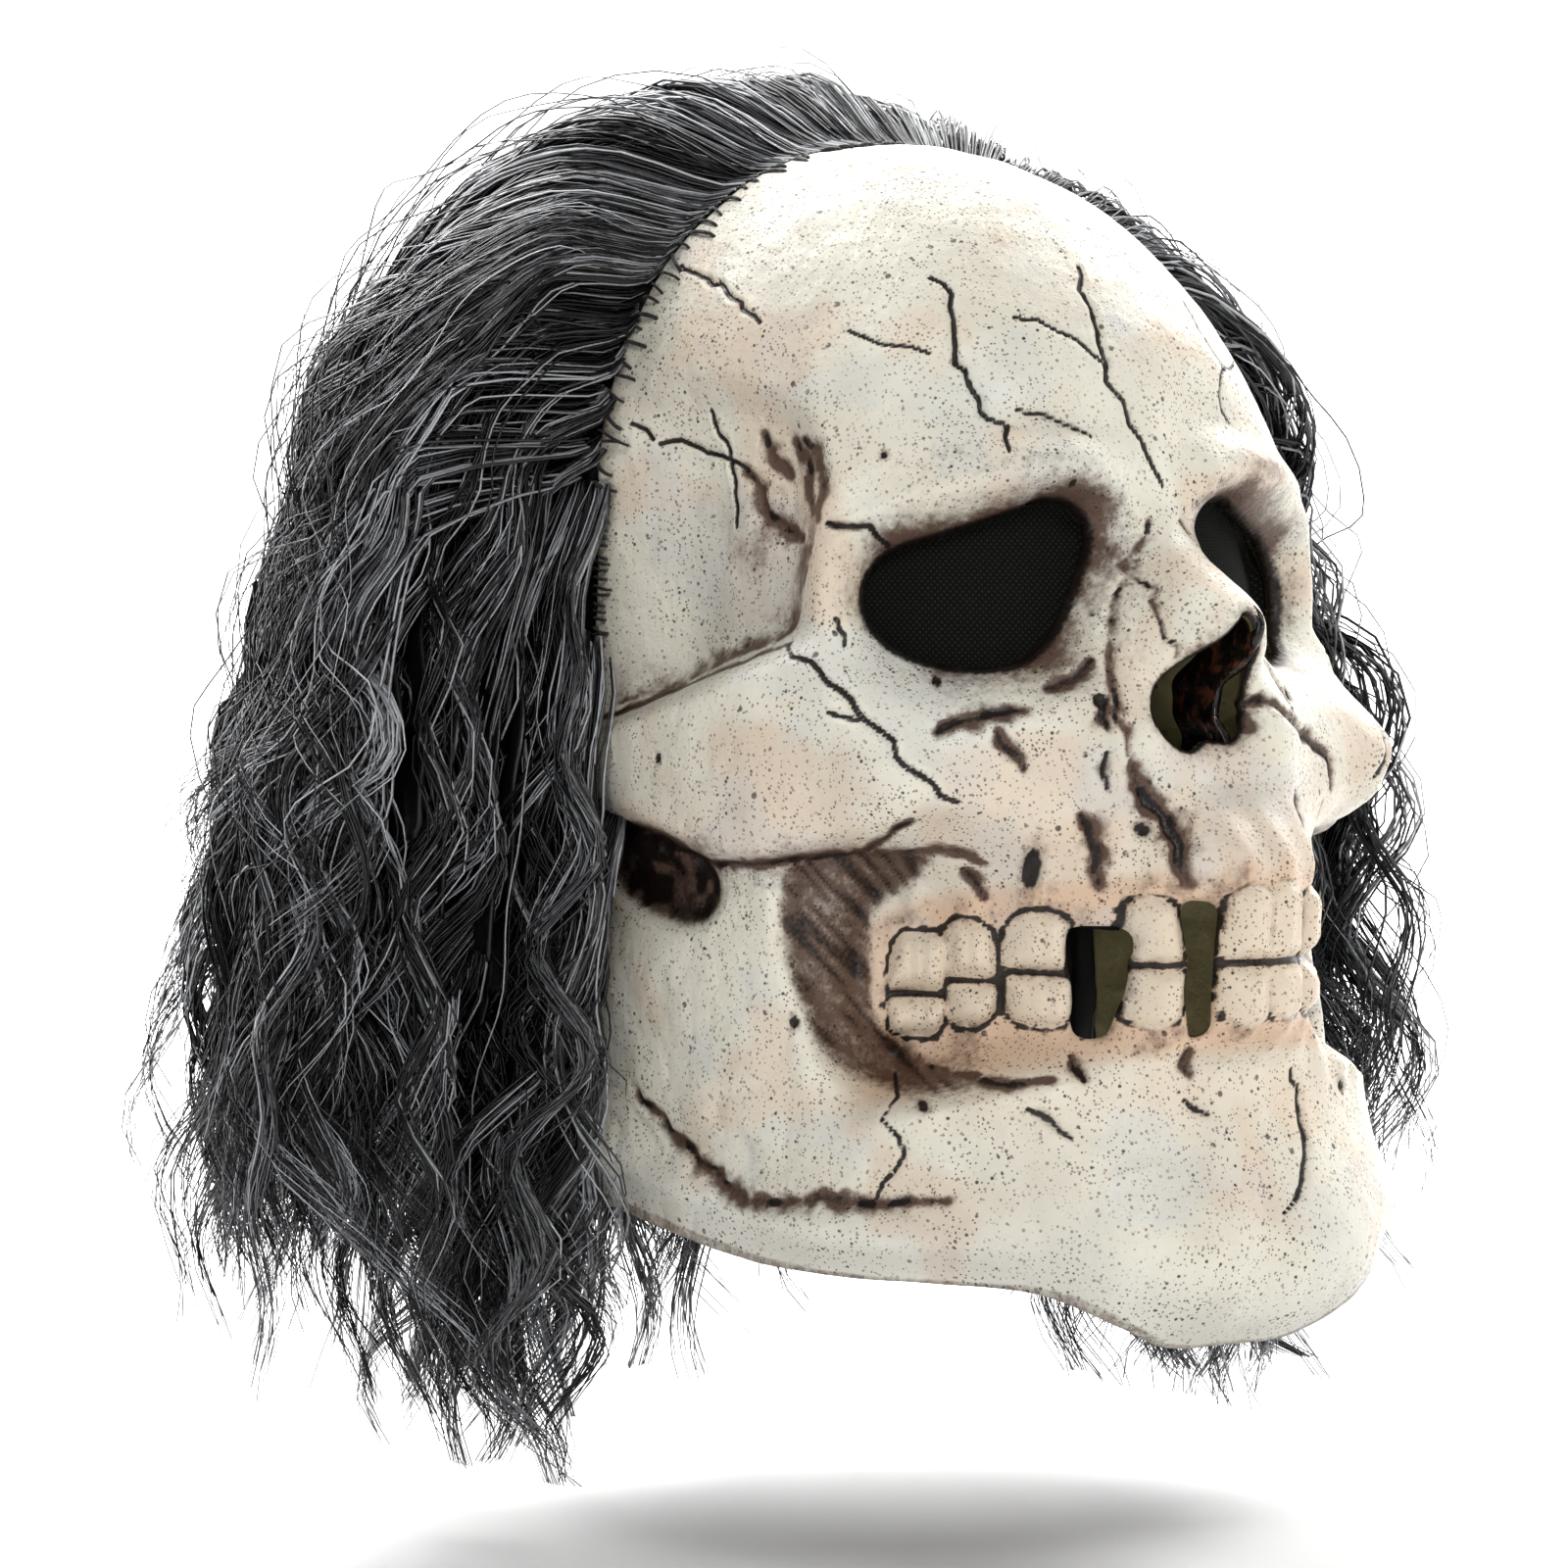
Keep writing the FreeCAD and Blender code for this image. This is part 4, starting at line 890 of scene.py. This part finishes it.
def tubes(name, paths, radii, sides=3):
    """Closed tubes along many paths at once. paths is (count, steps, 3) and radii (count, steps), in mm."""
    count, steps = paths.shape[:2]
    along = unit(np.gradient(paths, axis=1))
    across = unit(np.cross(along, TUBE_GUIDE))
    up = np.cross(along, across)
    turn = 2 * np.pi * np.arange(sides) / sides
    ring = (across[:, :, None, :] * np.cos(turn)[None, None, :, None]
            + up[:, :, None, :] * np.sin(turn)[None, None, :, None])
    points = paths[:, :, None, :] + ring * radii[:, :, None, None]
    base = (np.arange(count) * steps * sides)[:, None, None]
    j, k = np.arange(steps - 1)[None, :, None], np.arange(sides)[None, None, :]
    a = base + j * sides + k
    b = base + j * sides + (k + 1) % sides
    quads = np.stack([a, b, b + sides, a + sides], -1).reshape(-1, 4)
    start = base[:, 0, 0]
    end = start + (steps - 1) * sides
    if sides == 3:
        caps = np.concatenate([np.stack([start + 2, start + 1, start], -1),
                               np.stack([end, end + 1, end + 2], -1)])
        first, second = quads[:, [0, 1, 2]], quads[:, [0, 2, 3]]
        return new_mesh(name, points.reshape(-1, 3), np.concatenate([first, second, caps]))
    fans = []
    for k in range(1, sides - 1, 2):
        k2 = (k + 2) % sides
        fans.append(np.stack([start + k2, start + k + 1, start + k, start], -1))
        fans.append(np.stack([end, end + k, end + k + 1, end + k2], -1))
    return new_mesh(name, points.reshape(-1, 3), np.concatenate([quads] + fans))


# ---- eyes: perforated stretch cloth glued behind the openings ----
EYE_GLUE = 4.0               # mm of cloth beyond the opening that is glued to the latex
EYE_CLOTH_TOP = 24.0         # the cloth ends here under the brow


def eye_cloth(side):
    curve = closed_curve(EYE_OUTLINE, DEGREE_MM["eye"], side)
    x = np.linspace(curve[:, 0].min() - EYE_GLUE, curve[:, 0].max() + EYE_GLUE, 67)
    z = np.linspace(curve[:, 1].min() - EYE_GLUE, min(curve[:, 1].max() + 3.5, EYE_CLOTH_TOP), 55)
    gx, gz = np.meshgrid(x, z)
    outside = np.maximum(outline_distance(gx, gz, curve)[0], 0.0)
    lift = -10.6 * np.exp(-outside / 6.5) - LATEX_WALL - 1.7
    top = wall_point(gx / DEGREE_MM["eye"], gz, lift)
    name = "eye_cloth_right" if side == RIGHT else "eye_cloth_left"
    piece = closed_sheet(name, top, 0.5)
    give(piece, "across", np.concatenate([gx.ravel(), gx.ravel()]))
    give(piece, "along", np.concatenate([gz.ravel(), gz.ravel()]))
    return piece


def septum():
    """The thin crooked wall of latex down the middle of the nose, painted black."""
    rows, cols = 34, 12
    t = np.linspace(0.0, 1.0, rows + 1)[:, None]
    reach = np.linspace(0.0, 1.0, cols + 1)[None, :]
    z = -4.0 - 33.0 * t + 0 * reach
    front = wall_radius(0.0 * z + 1.0, z) - 3.5 - 2.5 * np.sin(np.pi * t) + 1.2 * np.sin(9.0 * t)
    y = SEAM_Y - front + 19.0 * reach
    x = 2.6 + 1.0 * np.sin(7.0 * t + 2.0 * reach) + 2.2 * reach + 0.5 * np.sin(23.0 * t)
    return closed_sheet("nose_septum", np.stack([x, y, z], -1), 1.6)


# ---- the back of the head ----
HANG_BACK = [(-210.0, -10.0), (-120.0, -12.0), (-60.0, -8.0), (-20.0, 0.0), (20.0, 0.0)]
HAIR_GAP, ROW_GAP, HAIR_BACK_SHARE, HAIR_FRONT_ANGLE = 1.2, 0.5, 0.7, 80.0
HAIR_HALF_WIDTH = 166.0      # no hair leaves this box
HAIR_FRONT_Y, HAIR_BACK_Y = -90.0, 200.0
HAIR_LOWEST_Z = -206.0       # hair that would hang lower is eased towards it
HAIR_EASE = 15.0


def back_dome(p, q, offset):
    """A point on the cap's half of the dome, at offset outside it."""
    reach = np.maximum(np.hypot(p, q), TINY)
    k = np.sin(reach * np.pi / 2) / reach
    dx, dy, dz = k * p, np.cos(reach * np.pi / 2), k * q
    depth = np.where(dy > 0.0, CAP_DEPTH, 1e4)
    r = ((dx / SEAM_HALF_WIDTH) ** 2 + (dy / depth) ** 2 + (dz / SEAM_HEIGHT) ** 2) ** -0.5 + offset
    return np.stack([dx * r, SEAM_Y + dy * r, DOME_Z + dz * r], -1)


def hair_point(a, w, offset):
    """A point at offset outside the cap and the latex. a runs from side to side, w along the cap."""
    b = np.clip(w / DOME_RUN, 0.0, 1.2)
    p, q = a * np.sqrt(np.maximum(1 - b * b / 2, 0)), b * np.sqrt(np.maximum(1 - a * a / 2, 0))
    over = back_dome(p, q, offset)
    z = DOME_Z + w
    front = 90.0 + (90.0 - HAIR_FRONT_ANGLE) * smooth(5.0, -40.0, z)
    s, c = np.sin(np.radians(a * front)), np.cos(np.radians(a * front))
    half = SEAM_HALF_WIDTH + np.maximum(through(SIDE_PROFILE, z), 0.0) + 4.0 * smooth(15.0, -25.0, z)
    depth = np.where(c > 0.0, CAP_DEPTH + through(HANG_BACK, z), 1e4)
    r = ((s / half) ** 2 + (c / depth) ** 2) ** -0.5 + offset
    wall = np.stack([r * s, SEAM_Y + r * c, z], -1)
    return np.where((w > 0.0)[..., None], over, wall)


def thickness_share(a, w):
    return 1.0 - (1.0 - HAIR_BACK_SHARE) * smooth(0.7, 0.0, np.abs(a)) * smooth(90.0, 20.0, w)


def under(row, w):
    """How far out the rows below this one carry it at w."""
    total = HAIR_GAP
    for top, thick, _ in HAIR_ROWS[row + 1:]:
        total = total + (thick + ROW_GAP) * smooth(top + 34.0, top + 2.0, w)
    return total


def row_base(row, a, w):
    """Where a row starts, outside the cap, and how thick it is."""
    share = thickness_share(a, w)
    return HAIR_GAP + (under(row, w) - HAIR_GAP) * share, HAIR_ROWS[row][1] * share


# ---- hair ----
# (row, strands, points along a strand) of each piece of hair; the outermost row is made of six pieces.
LOCKS = [(0, 800, 40)] * 6 + [(1, 850, 38)] * 2
LOCKS += [(2, 1200, 28), (3, 1100, 28), (4, 1000, 28), (5, 900, 26), (6, 1000, 24), (7, 1200, 22)]


def keep_inside(place):
    """Holds hair, in place, within the box sideways and front to back."""
    place[..., 0] = np.clip(place[..., 0], -HAIR_HALF_WIDTH, HAIR_HALF_WIDTH)
    place[..., 1] = np.clip(place[..., 1], HAIR_FRONT_Y, HAIR_BACK_Y)


def hair_base(row):
    """The dark mass of one row under its strands: a thin sheet of grooved locks with a ragged end."""
    top, _, end_z = HAIR_ROWS[row]
    end = end_z - DOME_Z
    cols, rows = 220, 60
    a = np.linspace(-1.0, 1.0, cols + 1)[None, :] * (0.95 - 0.015 * (row % 3))
    s = np.linspace(0.0, 1.0, rows + 1)[:, None]
    ragged = 9.0 * np.sin(a * 23.0 + row) + 7.0 * np.sin(a * 61.0 + 2.1 * row) + 5.0 * np.sin(a * 131.0)
    w = top - 4.0 + (0.62 * (end - top) + 0.6 * ragged) * s
    spots = np.stack([a * 40.0 + 0 * s, w / 9.0, 0 * (a + s)], -1)
    sway = 0.010 * noise(spots * 0.35, 1.0, 50 + row) * smooth(0.1, 0.5, s)
    base, depth = row_base(row, a + 0 * s, w)
    fine = np.stack([(a + sway) * 90.0, w / 60.0, 0 * (a + s)], -1)
    groove = 0.8 * noise(fine, 1.0, 60 + row) + 0.4 * noise(fine * np.array([2.3, 1.5, 1.0]), 1.0, 70 + row)
    lift = (base * smooth(-0.03, 0.14, s) + depth * (0.30 * smooth(0.0, 0.2, s)) * (1 - 0.8 * s)
            + groove * smooth(0.02, 0.2, s))
    place = hair_point(np.clip(a + sway, -1.0, 1.0) + 0 * s, w, lift)
    piece = closed_sheet(f"hair_mass_shaded_{row + 1}", place[:, ::-1], 1.0)
    shade = 0.10 + 0.12 * noise(fine * np.array([2.3, 1.0, 1.0]), 1.0, 80 + row)
    give(piece, "shade", np.concatenate([shade.ravel()] * 2))
    return piece


def strands(name, row, count, points, rng):
    """Wavy strands of one row in clumps, combed back from the seam and falling by their own weight."""
    top, _, end_z = HAIR_ROWS[row]
    end = end_z - DOME_Z
    count = count // 1
    clumps = max(24, count // 15)
    s = np.linspace(0.0, 1.0, points)[None, :]

    c_a = rng.uniform(-1.0, 1.0, clumps)
    at_side = rng.random(clumps) < 0.46
    c_a = np.where(at_side, np.sign(c_a) * rng.uniform(0.80, 1.05, clumps), c_a)
    c_end = rng.normal(0.0, 15.0, clumps)
    c_end = c_end + np.where(rng.random(clumps) < 0.40, rng.uniform(0, 95, clumps), 0.0)
    c_depth = rng.uniform(0.30, 1.15, clumps)
    c_phase = rng.uniform(0, 2 * np.pi, clumps)
    c_length = rng.uniform(40.0, 82.0, clumps)
    c_wave = c_length * rng.uniform(0.06, 0.16, clumps)
    c_curl = np.where(rng.random(clumps) < 0.5, rng.uniform(4.0, 12.0, clumps), 0.0)
    c_shade = np.clip(rng.normal(0.34, 0.26, clumps), 0.0, 1.0)
    c_drift = rng.normal(0.0, 0.06, clumps)
    c_flare = rng.normal(3.0, 7.0, clumps)
    c_size = rng.uniform(0.5, 1.5, clumps)
    at_seam = (rng.random(clumps) < 0.34) & (row == 0)
    c_a = np.where(at_seam, np.sign(c_a) * rng.uniform(0.95, 1.02, clumps), c_a)
    c_start = np.where(at_seam, rng.uniform(2.0, 126.0, clumps), top)

    which = rng.integers(0, clumps, count)
    spread = (rng.normal(0.0, 0.017, count) * c_size[which])[:, None] * (1.0 - 0.5 * smooth(0.1, 0.9, s))
    hold = 0.14 if row > 4 else 0.34
    pull = hold * smooth(0.02, 0.8, s) * (1.0 - 0.45 * np.abs(c_a[which][:, None]) ** 6)
    a = (c_a[which][:, None] + spread) * (1.0 - pull)
    a = a + (c_drift[which] + rng.normal(0, 0.008, count))[:, None] * smooth(0.1, 1.0, s)
    a = np.clip(a, -1.05, 1.05)
    behind = 50.0 * bell(np.abs(c_a), 0.42, 0.34) * (end < -170.0 + 40.0 * row)
    strand_end = end + (c_end + behind)[which] + rng.normal(0.0, 6.0, count)
    start = c_start[which] + (rng.uniform(3.0, 10.8, count) if row == 0 else rng.uniform(-3.0, 6.0, count))
    start = np.minimum(start, 130.8)
    strand_end = np.maximum(strand_end, -218.0 + 8.0 * np.sin(3.0 * c_phase[which]))
    w = start[:, None] + (strand_end - start)[:, None] * s
    base, depth = row_base(row, np.clip(a, -1, 1), w)
    far = (c_depth[which] + rng.normal(0, 0.09, count))[:, None]
    root = 0.05 + 0.95 * smooth(0.0, 0.14, s)
    lift = base * (0.15 + 0.85 * smooth(0.0, 0.12, s)) + depth * far * root
    lift += 3.0 * smooth(0.0, 0.10, s) * smooth(0.55, 0.12, s) * (row == 0)
    lift += (c_flare[which])[:, None] * smooth(0.5, 1.0, s)
    place = hair_point(a, w, np.maximum(lift, 0.6))

    along = np.gradient(place, axis=1)
    step = np.linalg.norm(along, axis=2)
    run = np.cumsum(step, axis=1)
    along /= np.maximum(step, TINY)[..., None]
    away = place - np.array([0.0, SEAM_Y, 0.0])
    away[..., 2] *= 0.25
    away -= (away * along).sum(-1, keepdims=True) * along
    away = unit(away)
    side = np.cross(along, away)
    turn = 2 * np.pi * run / c_length[which][:, None] + (c_phase[which] + rng.normal(0, 0.16, count))[:, None]
    size = (c_wave[which] * rng.uniform(0.85, 1.15, count))[:, None] * smooth(0.04, 0.5, s)
    shift = size[..., None] * (side * np.sin(turn)[..., None] + 0.5 * away * np.cos(turn * 0.93)[..., None])
    tip = smooth(0.68, 1.0, s)
    curl = c_curl[which][:, None] * tip
    spin = 2 * np.pi * (s - 0.68) / 0.32 * 0.85 + c_phase[which][:, None]
    shift += curl[..., None] * (away * (0.4 + np.sin(spin))[..., None] + side * np.cos(spin)[..., None])
    place = place + shift

    loose = (rng.random(count) < 0.05)[:, None]
    stray = rng.uniform(2.0, 15.0, count)[:, None] * loose * np.sin(np.pi * np.clip(s * 1.1, 0, 1))
    place = place + away * stray[..., None] + side * (stray * np.sin(turn * 0.6))[..., None] * 0.6
    keep_inside(place)
    deep = np.maximum(HAIR_LOWEST_Z - place[..., 2], 0.0)
    place[..., 2] = np.where(deep > 0, HAIR_LOWEST_Z - HAIR_EASE * np.tanh(deep / HAIR_EASE), place[..., 2])

    radius = rng.uniform(0.24, 0.48, count)[:, None] * (1.0 - 0.65 * smooth(0.7, 1.0, s))
    radius = radius * np.where(loose, 0.6, 1.0)
    piece = tubes(name, place, radius)
    # Painted highlight: some clumps and about a fifth of the strands get a silver tone, partly grey fibre and
    # partly standing for the sheen on the glossy fibre.
    shade = np.clip(c_shade[which] + rng.normal(0, 0.22, count), 0.0, 1.0)
    shade = np.where(rng.random(count) < 0.18, rng.uniform(0.7, 1.0, count), shade)
    give(piece, "shade", np.repeat(shade, points * 3))
    return piece


CURLS, CURL_STRANDS, CURL_POINTS = 22, 42, 30
CURL_ROOT = 22.0             # mm outside the cap, within the outer hair


def curls(rng):
    """Locks that spring out of the mass and turn back on themselves, most of them behind the ears."""
    turn = np.linspace(0.0, 1.0, CURL_POINTS)
    paths, shades = [], []
    for k in range(CURLS):
        side = RIGHT if k % 3 else LEFT
        a = side * rng.uniform(0.34, 0.74)
        w = rng.uniform(-150.0, 52.0)
        size, sweep = rng.uniform(11.0, 19.0), rng.uniform(1.25, 1.9)
        tone = rng.uniform(0.1, 0.6)
        start = hair_point(np.array([a]), np.array([w]), CURL_ROOT)[0]
        lower = hair_point(np.array([a * 0.97]), np.array([w - 4.0]), CURL_ROOT)[0]
        along = (lower - start) / np.linalg.norm(lower - start)
        away = start - np.array([0.0, SEAM_Y, 0.0])
        away[2] *= 0.2
        away -= away @ along * along
        away /= np.linalg.norm(away)
        beside = np.cross(along, away)
        for _ in range(CURL_STRANDS):
            here = size * (1.0 + rng.normal(0.0, 0.07)) * (1.0 - 0.25 * turn)
            phase = np.pi * sweep * turn * (1.0 + rng.normal(0.0, 0.03))
            shift = rng.normal(0.0, 2.2) * np.sin(np.pi * np.clip(turn + 0.15, 0, 1))
            shift = shift + 5.0 * turn * (k % 2 - 0.5)
            path = (start + rng.normal(0.0, 1.6, 3)
                    + away * (0.75 * here * (1.0 - np.cos(phase)) - 9.0)[:, None]
                    + along * (1.15 * here * np.sin(phase) + 12.0 * turn)[:, None]
                    + beside * shift[:, None])
            paths.append(path)
            shades.append(tone + rng.normal(0.0, 0.2))
    paths = np.array(paths)
    keep_inside(paths)
    radius = rng.uniform(0.24, 0.42, len(paths))[:, None] * (1.0 - 0.6 * smooth(0.7, 1.0, turn))[None, :]
    piece = tubes("hair_curls", paths, radius)
    give(piece, "shade", np.repeat(np.clip(shades, 0.0, 1.0), CURL_POINTS * 3))
    return piece


# ---- seam threads ----
def crown_threads(rng):
    """Long whip stitches over the seam along the forehead, one short thread each."""
    count = 62
    turn = np.pi * (np.arange(1, count) + rng.uniform(-0.25, 0.25, count - 1)) / count
    length = rng.uniform(0.035, 0.085, count - 1)
    slant = rng.normal(0.020, 0.016, count - 1)
    s = np.linspace(0.0, 1.0, 9)[None, :]
    reach = 1.0 - length[:, None] * s
    phi = turn[:, None] + slant[:, None] * s
    lift = 0.15 + 0.75 * np.sin(np.pi * np.clip(s, 0.0, 1.0)) ** 0.7 - 0.9 * smooth(0.86, 1.0, s)
    place = dome_point(reach * np.cos(phi), reach * np.sin(phi), lift)
    first = place[:, :1] * np.array([1.0, 1.0, 1.0])
    first[..., 1] += 1.2
    path = np.concatenate([first, place], 1)
    radius = np.full(path.shape[:2], 0.46) * rng.uniform(0.8, 1.15, count - 1)[:, None]
    return tubes("threads_crown", path, radius, sides=6)


def side_threads(side, rng):
    """Short overlock stitches down one side, from the dome to behind the jaw."""
    z = np.arange(DOME_Z - 1.0, -74.0, -1.9)
    z = z + rng.uniform(-0.3, 0.3, len(z))
    s = np.linspace(0.0, 1.0, 9)[None, :]
    length = rng.uniform(3.0, 5.6, len(z))[:, None]
    drop = rng.normal(0.8, 0.5, len(z))[:, None]
    height = z[:, None] - drop * s
    angle = rear_angle(height) - length * s * 0.70
    lift = 0.15 + 0.7 * np.sin(np.pi * s) ** 0.7 - 0.85 * smooth(0.85, 1.0, s)
    place = wall_point(side * angle, height, lift)
    first = place[:, :1].copy()
    first[..., 1] += 1.0
    path = np.concatenate([first, place], 1)
    name = "threads_right" if side == RIGHT else "threads_left"
    return tubes(name, path, np.full(path.shape[:2], 0.38), sides=6)


# ---- build everything ----
def wear(piece, material, slot, *nodes):
    piece.data.materials.clear()
    piece.data.materials.append(material)
    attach(piece, "root")
    if nodes:
        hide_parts(*nodes)
    return piece


face = wear(skull(), latex_material(), "latex", "skull_shell")

wear(septum(), glossy_paint(), "latex")
mesh_cloth = cloth_material("eye_tricot", (0.004, 0.004, 0.004), (0.010, 0.010, 0.009), 1.5)
for side, node in ((RIGHT, "eye_mesh_right"), (LEFT, "eye_mesh_left")):
    piece = wear(eye_cloth(side), mesh_cloth, "eye_mesh", node)

rng = np.random.default_rng(74)
hair = hair_material("hair_charcoal")
# The hair under the outer strands is made darker than them, as painted shade deep in the hair.
mass = hair_material("hair_mass_shaded", 0.55)
for k, (row, count, points) in enumerate(LOCKS):
    wear(strands(f"hair_locks_{k + 1}", row, count, points, rng), hair, "hair", f"hair_row_{row + 1}")
for row in range(len(HAIR_ROWS)):
    wear(hair_base(row), mass, "hair")
wear(curls(rng), hair, "hair")

thread = plain_cloth("thread_black", (0.008, 0.008, 0.008), (0.03, 0.03, 0.03), 900.0, 0.6)
wear(crown_threads(rng), thread, "seam_thread", "seam_stitches_crown")
wear(side_threads(RIGHT, rng), thread, "seam_thread", "seam_stitches_right")
wear(side_threads(LEFT, rng), thread, "seam_thread", "seam_stitches_left")

knit = plain_cloth("cap_knit", (0.012, 0.012, 0.013), (0.035, 0.035, 0.037), 700.0, 0.9)
elastic = plain_cloth("hem_elastic", (0.015, 0.015, 0.016), (0.04, 0.04, 0.04), 500.0, 0.85)
looks = {"wig_cap": knit, "cap_hem_elastic": elastic}
track = plain_cloth("weft_tape", (0.012, 0.012, 0.013), (0.04, 0.04, 0.042), 1100.0, 0.75)
for k in range(len(HAIR_ROWS)):
    looks[f"weft_track_{k + 1}"] = track
for node, material in looks.items():
    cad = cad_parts[node]
    cad.data.materials.clear()
    cad.data.materials.append(material)

# ---- floor, light and camera ----
FLOOR_Z = -228.0
FLOOR_FRONT, FLOOR_HALF_WIDTH, WALL_TOP = -4000.0, 5000.0, 5200.0
BEND_START, BEND_RADIUS = 2400.0, 900.0      # the floor sweeps up into the wall
BESIDE_VIEW = np.array([0.81915, -0.57358])  # unit directions of the photograph's view along the floor
ALONG_VIEW = np.array([0.57279, 0.81803]) / math.hypot(0.57279, 0.81803)
profile = [(FLOOR_FRONT, 0.0)]
for turn in np.linspace(0, np.pi / 2, 13):
    profile.append((BEND_START + BEND_RADIUS * math.sin(turn), BEND_RADIUS * (1 - math.cos(turn))))
profile.append((BEND_START + BEND_RADIUS, WALL_TOP))
floor_points = []
for reach, rise in profile:
    for across in (-FLOOR_HALF_WIDTH, FLOOR_HALF_WIDTH):
        spot = BESIDE_VIEW * across + ALONG_VIEW * reach
        floor_points.append((spot[0], spot[1], FLOOR_Z + rise))
floor_faces = [(2 * k, 2 * k + 1, 2 * k + 3, 2 * k + 2) for k in range(len(profile) - 1)]
floor = new_mesh("floor", floor_points, floor_faces)
floor.data.materials.append(matte("paper", (0.86, 0.86, 0.86)))


def area_light(name, place, target, power, size):
    data = bpy.data.lights.new(name, "AREA")
    data.energy, data.size = power, size
    lamp = bpy.data.objects.new(name, data)
    lamp.location = place
    lamp.rotation_euler = (Vector(target) - Vector(place)).to_track_quat("-Z", "Y").to_euler()
    bpy.context.scene.collection.objects.link(lamp)


VIEW_CENTRE = Vector((-0.0422, 0.0266, -0.0461))
VIEW_AZIMUTH, VIEW_HEIGHT, VIEW_DISTANCE = math.radians(-35.0), math.radians(3.0), 1.4
toward = Vector((math.sin(VIEW_AZIMUTH) * math.cos(VIEW_HEIGHT),
                 -math.cos(VIEW_AZIMUTH) * math.cos(VIEW_HEIGHT), math.sin(VIEW_HEIGHT)))
camera_place = VIEW_CENTRE + toward * VIEW_DISTANCE
lens = bpy.data.cameras.new("camera")
lens.lens, lens.sensor_width = 138.6, 36.0
camera = bpy.data.objects.new("camera", lens)
camera.location = camera_place
camera.rotation_euler = (-toward).to_track_quat("-Z", "Y").to_euler()
bpy.context.scene.collection.objects.link(camera)
bpy.context.scene.camera = camera

area_light("key", (-0.5, -1.7, 1.3), (0, 0, -0.02), 17.0, 0.7)
area_light("front", (-1.6, -1.2, 0.2), (0, 0, -0.05), 5.5, 1.1)
area_light("right", (1.5, -0.9, 0.5), (0, 0, -0.05), 6.0, 0.9)
area_light("back", (0.3, 1.7, 1.4), (0, 0, 0), 18.0, 1.3)
area_light("wall_left", (-0.6, 1.6, 2.6), (0.6, 3.6, 0.9), 190.0, 1.6)
area_light("wall_right", (2.4, 0.6, 2.6), (3.0, 2.4, 0.9), 190.0, 1.6)
world = bpy.data.worlds.new("studio")
world.use_nodes = True
world.node_tree.nodes["Background"].inputs[0].default_value = (1.0, 1.0, 1.0, 1.0)
world.node_tree.nodes["Background"].inputs[1].default_value = 0.27
bpy.context.scene.world = world
bpy.context.scene.view_settings.view_transform = "Standard"
bpy.context.scene.view_settings.look = "Medium High Contrast"
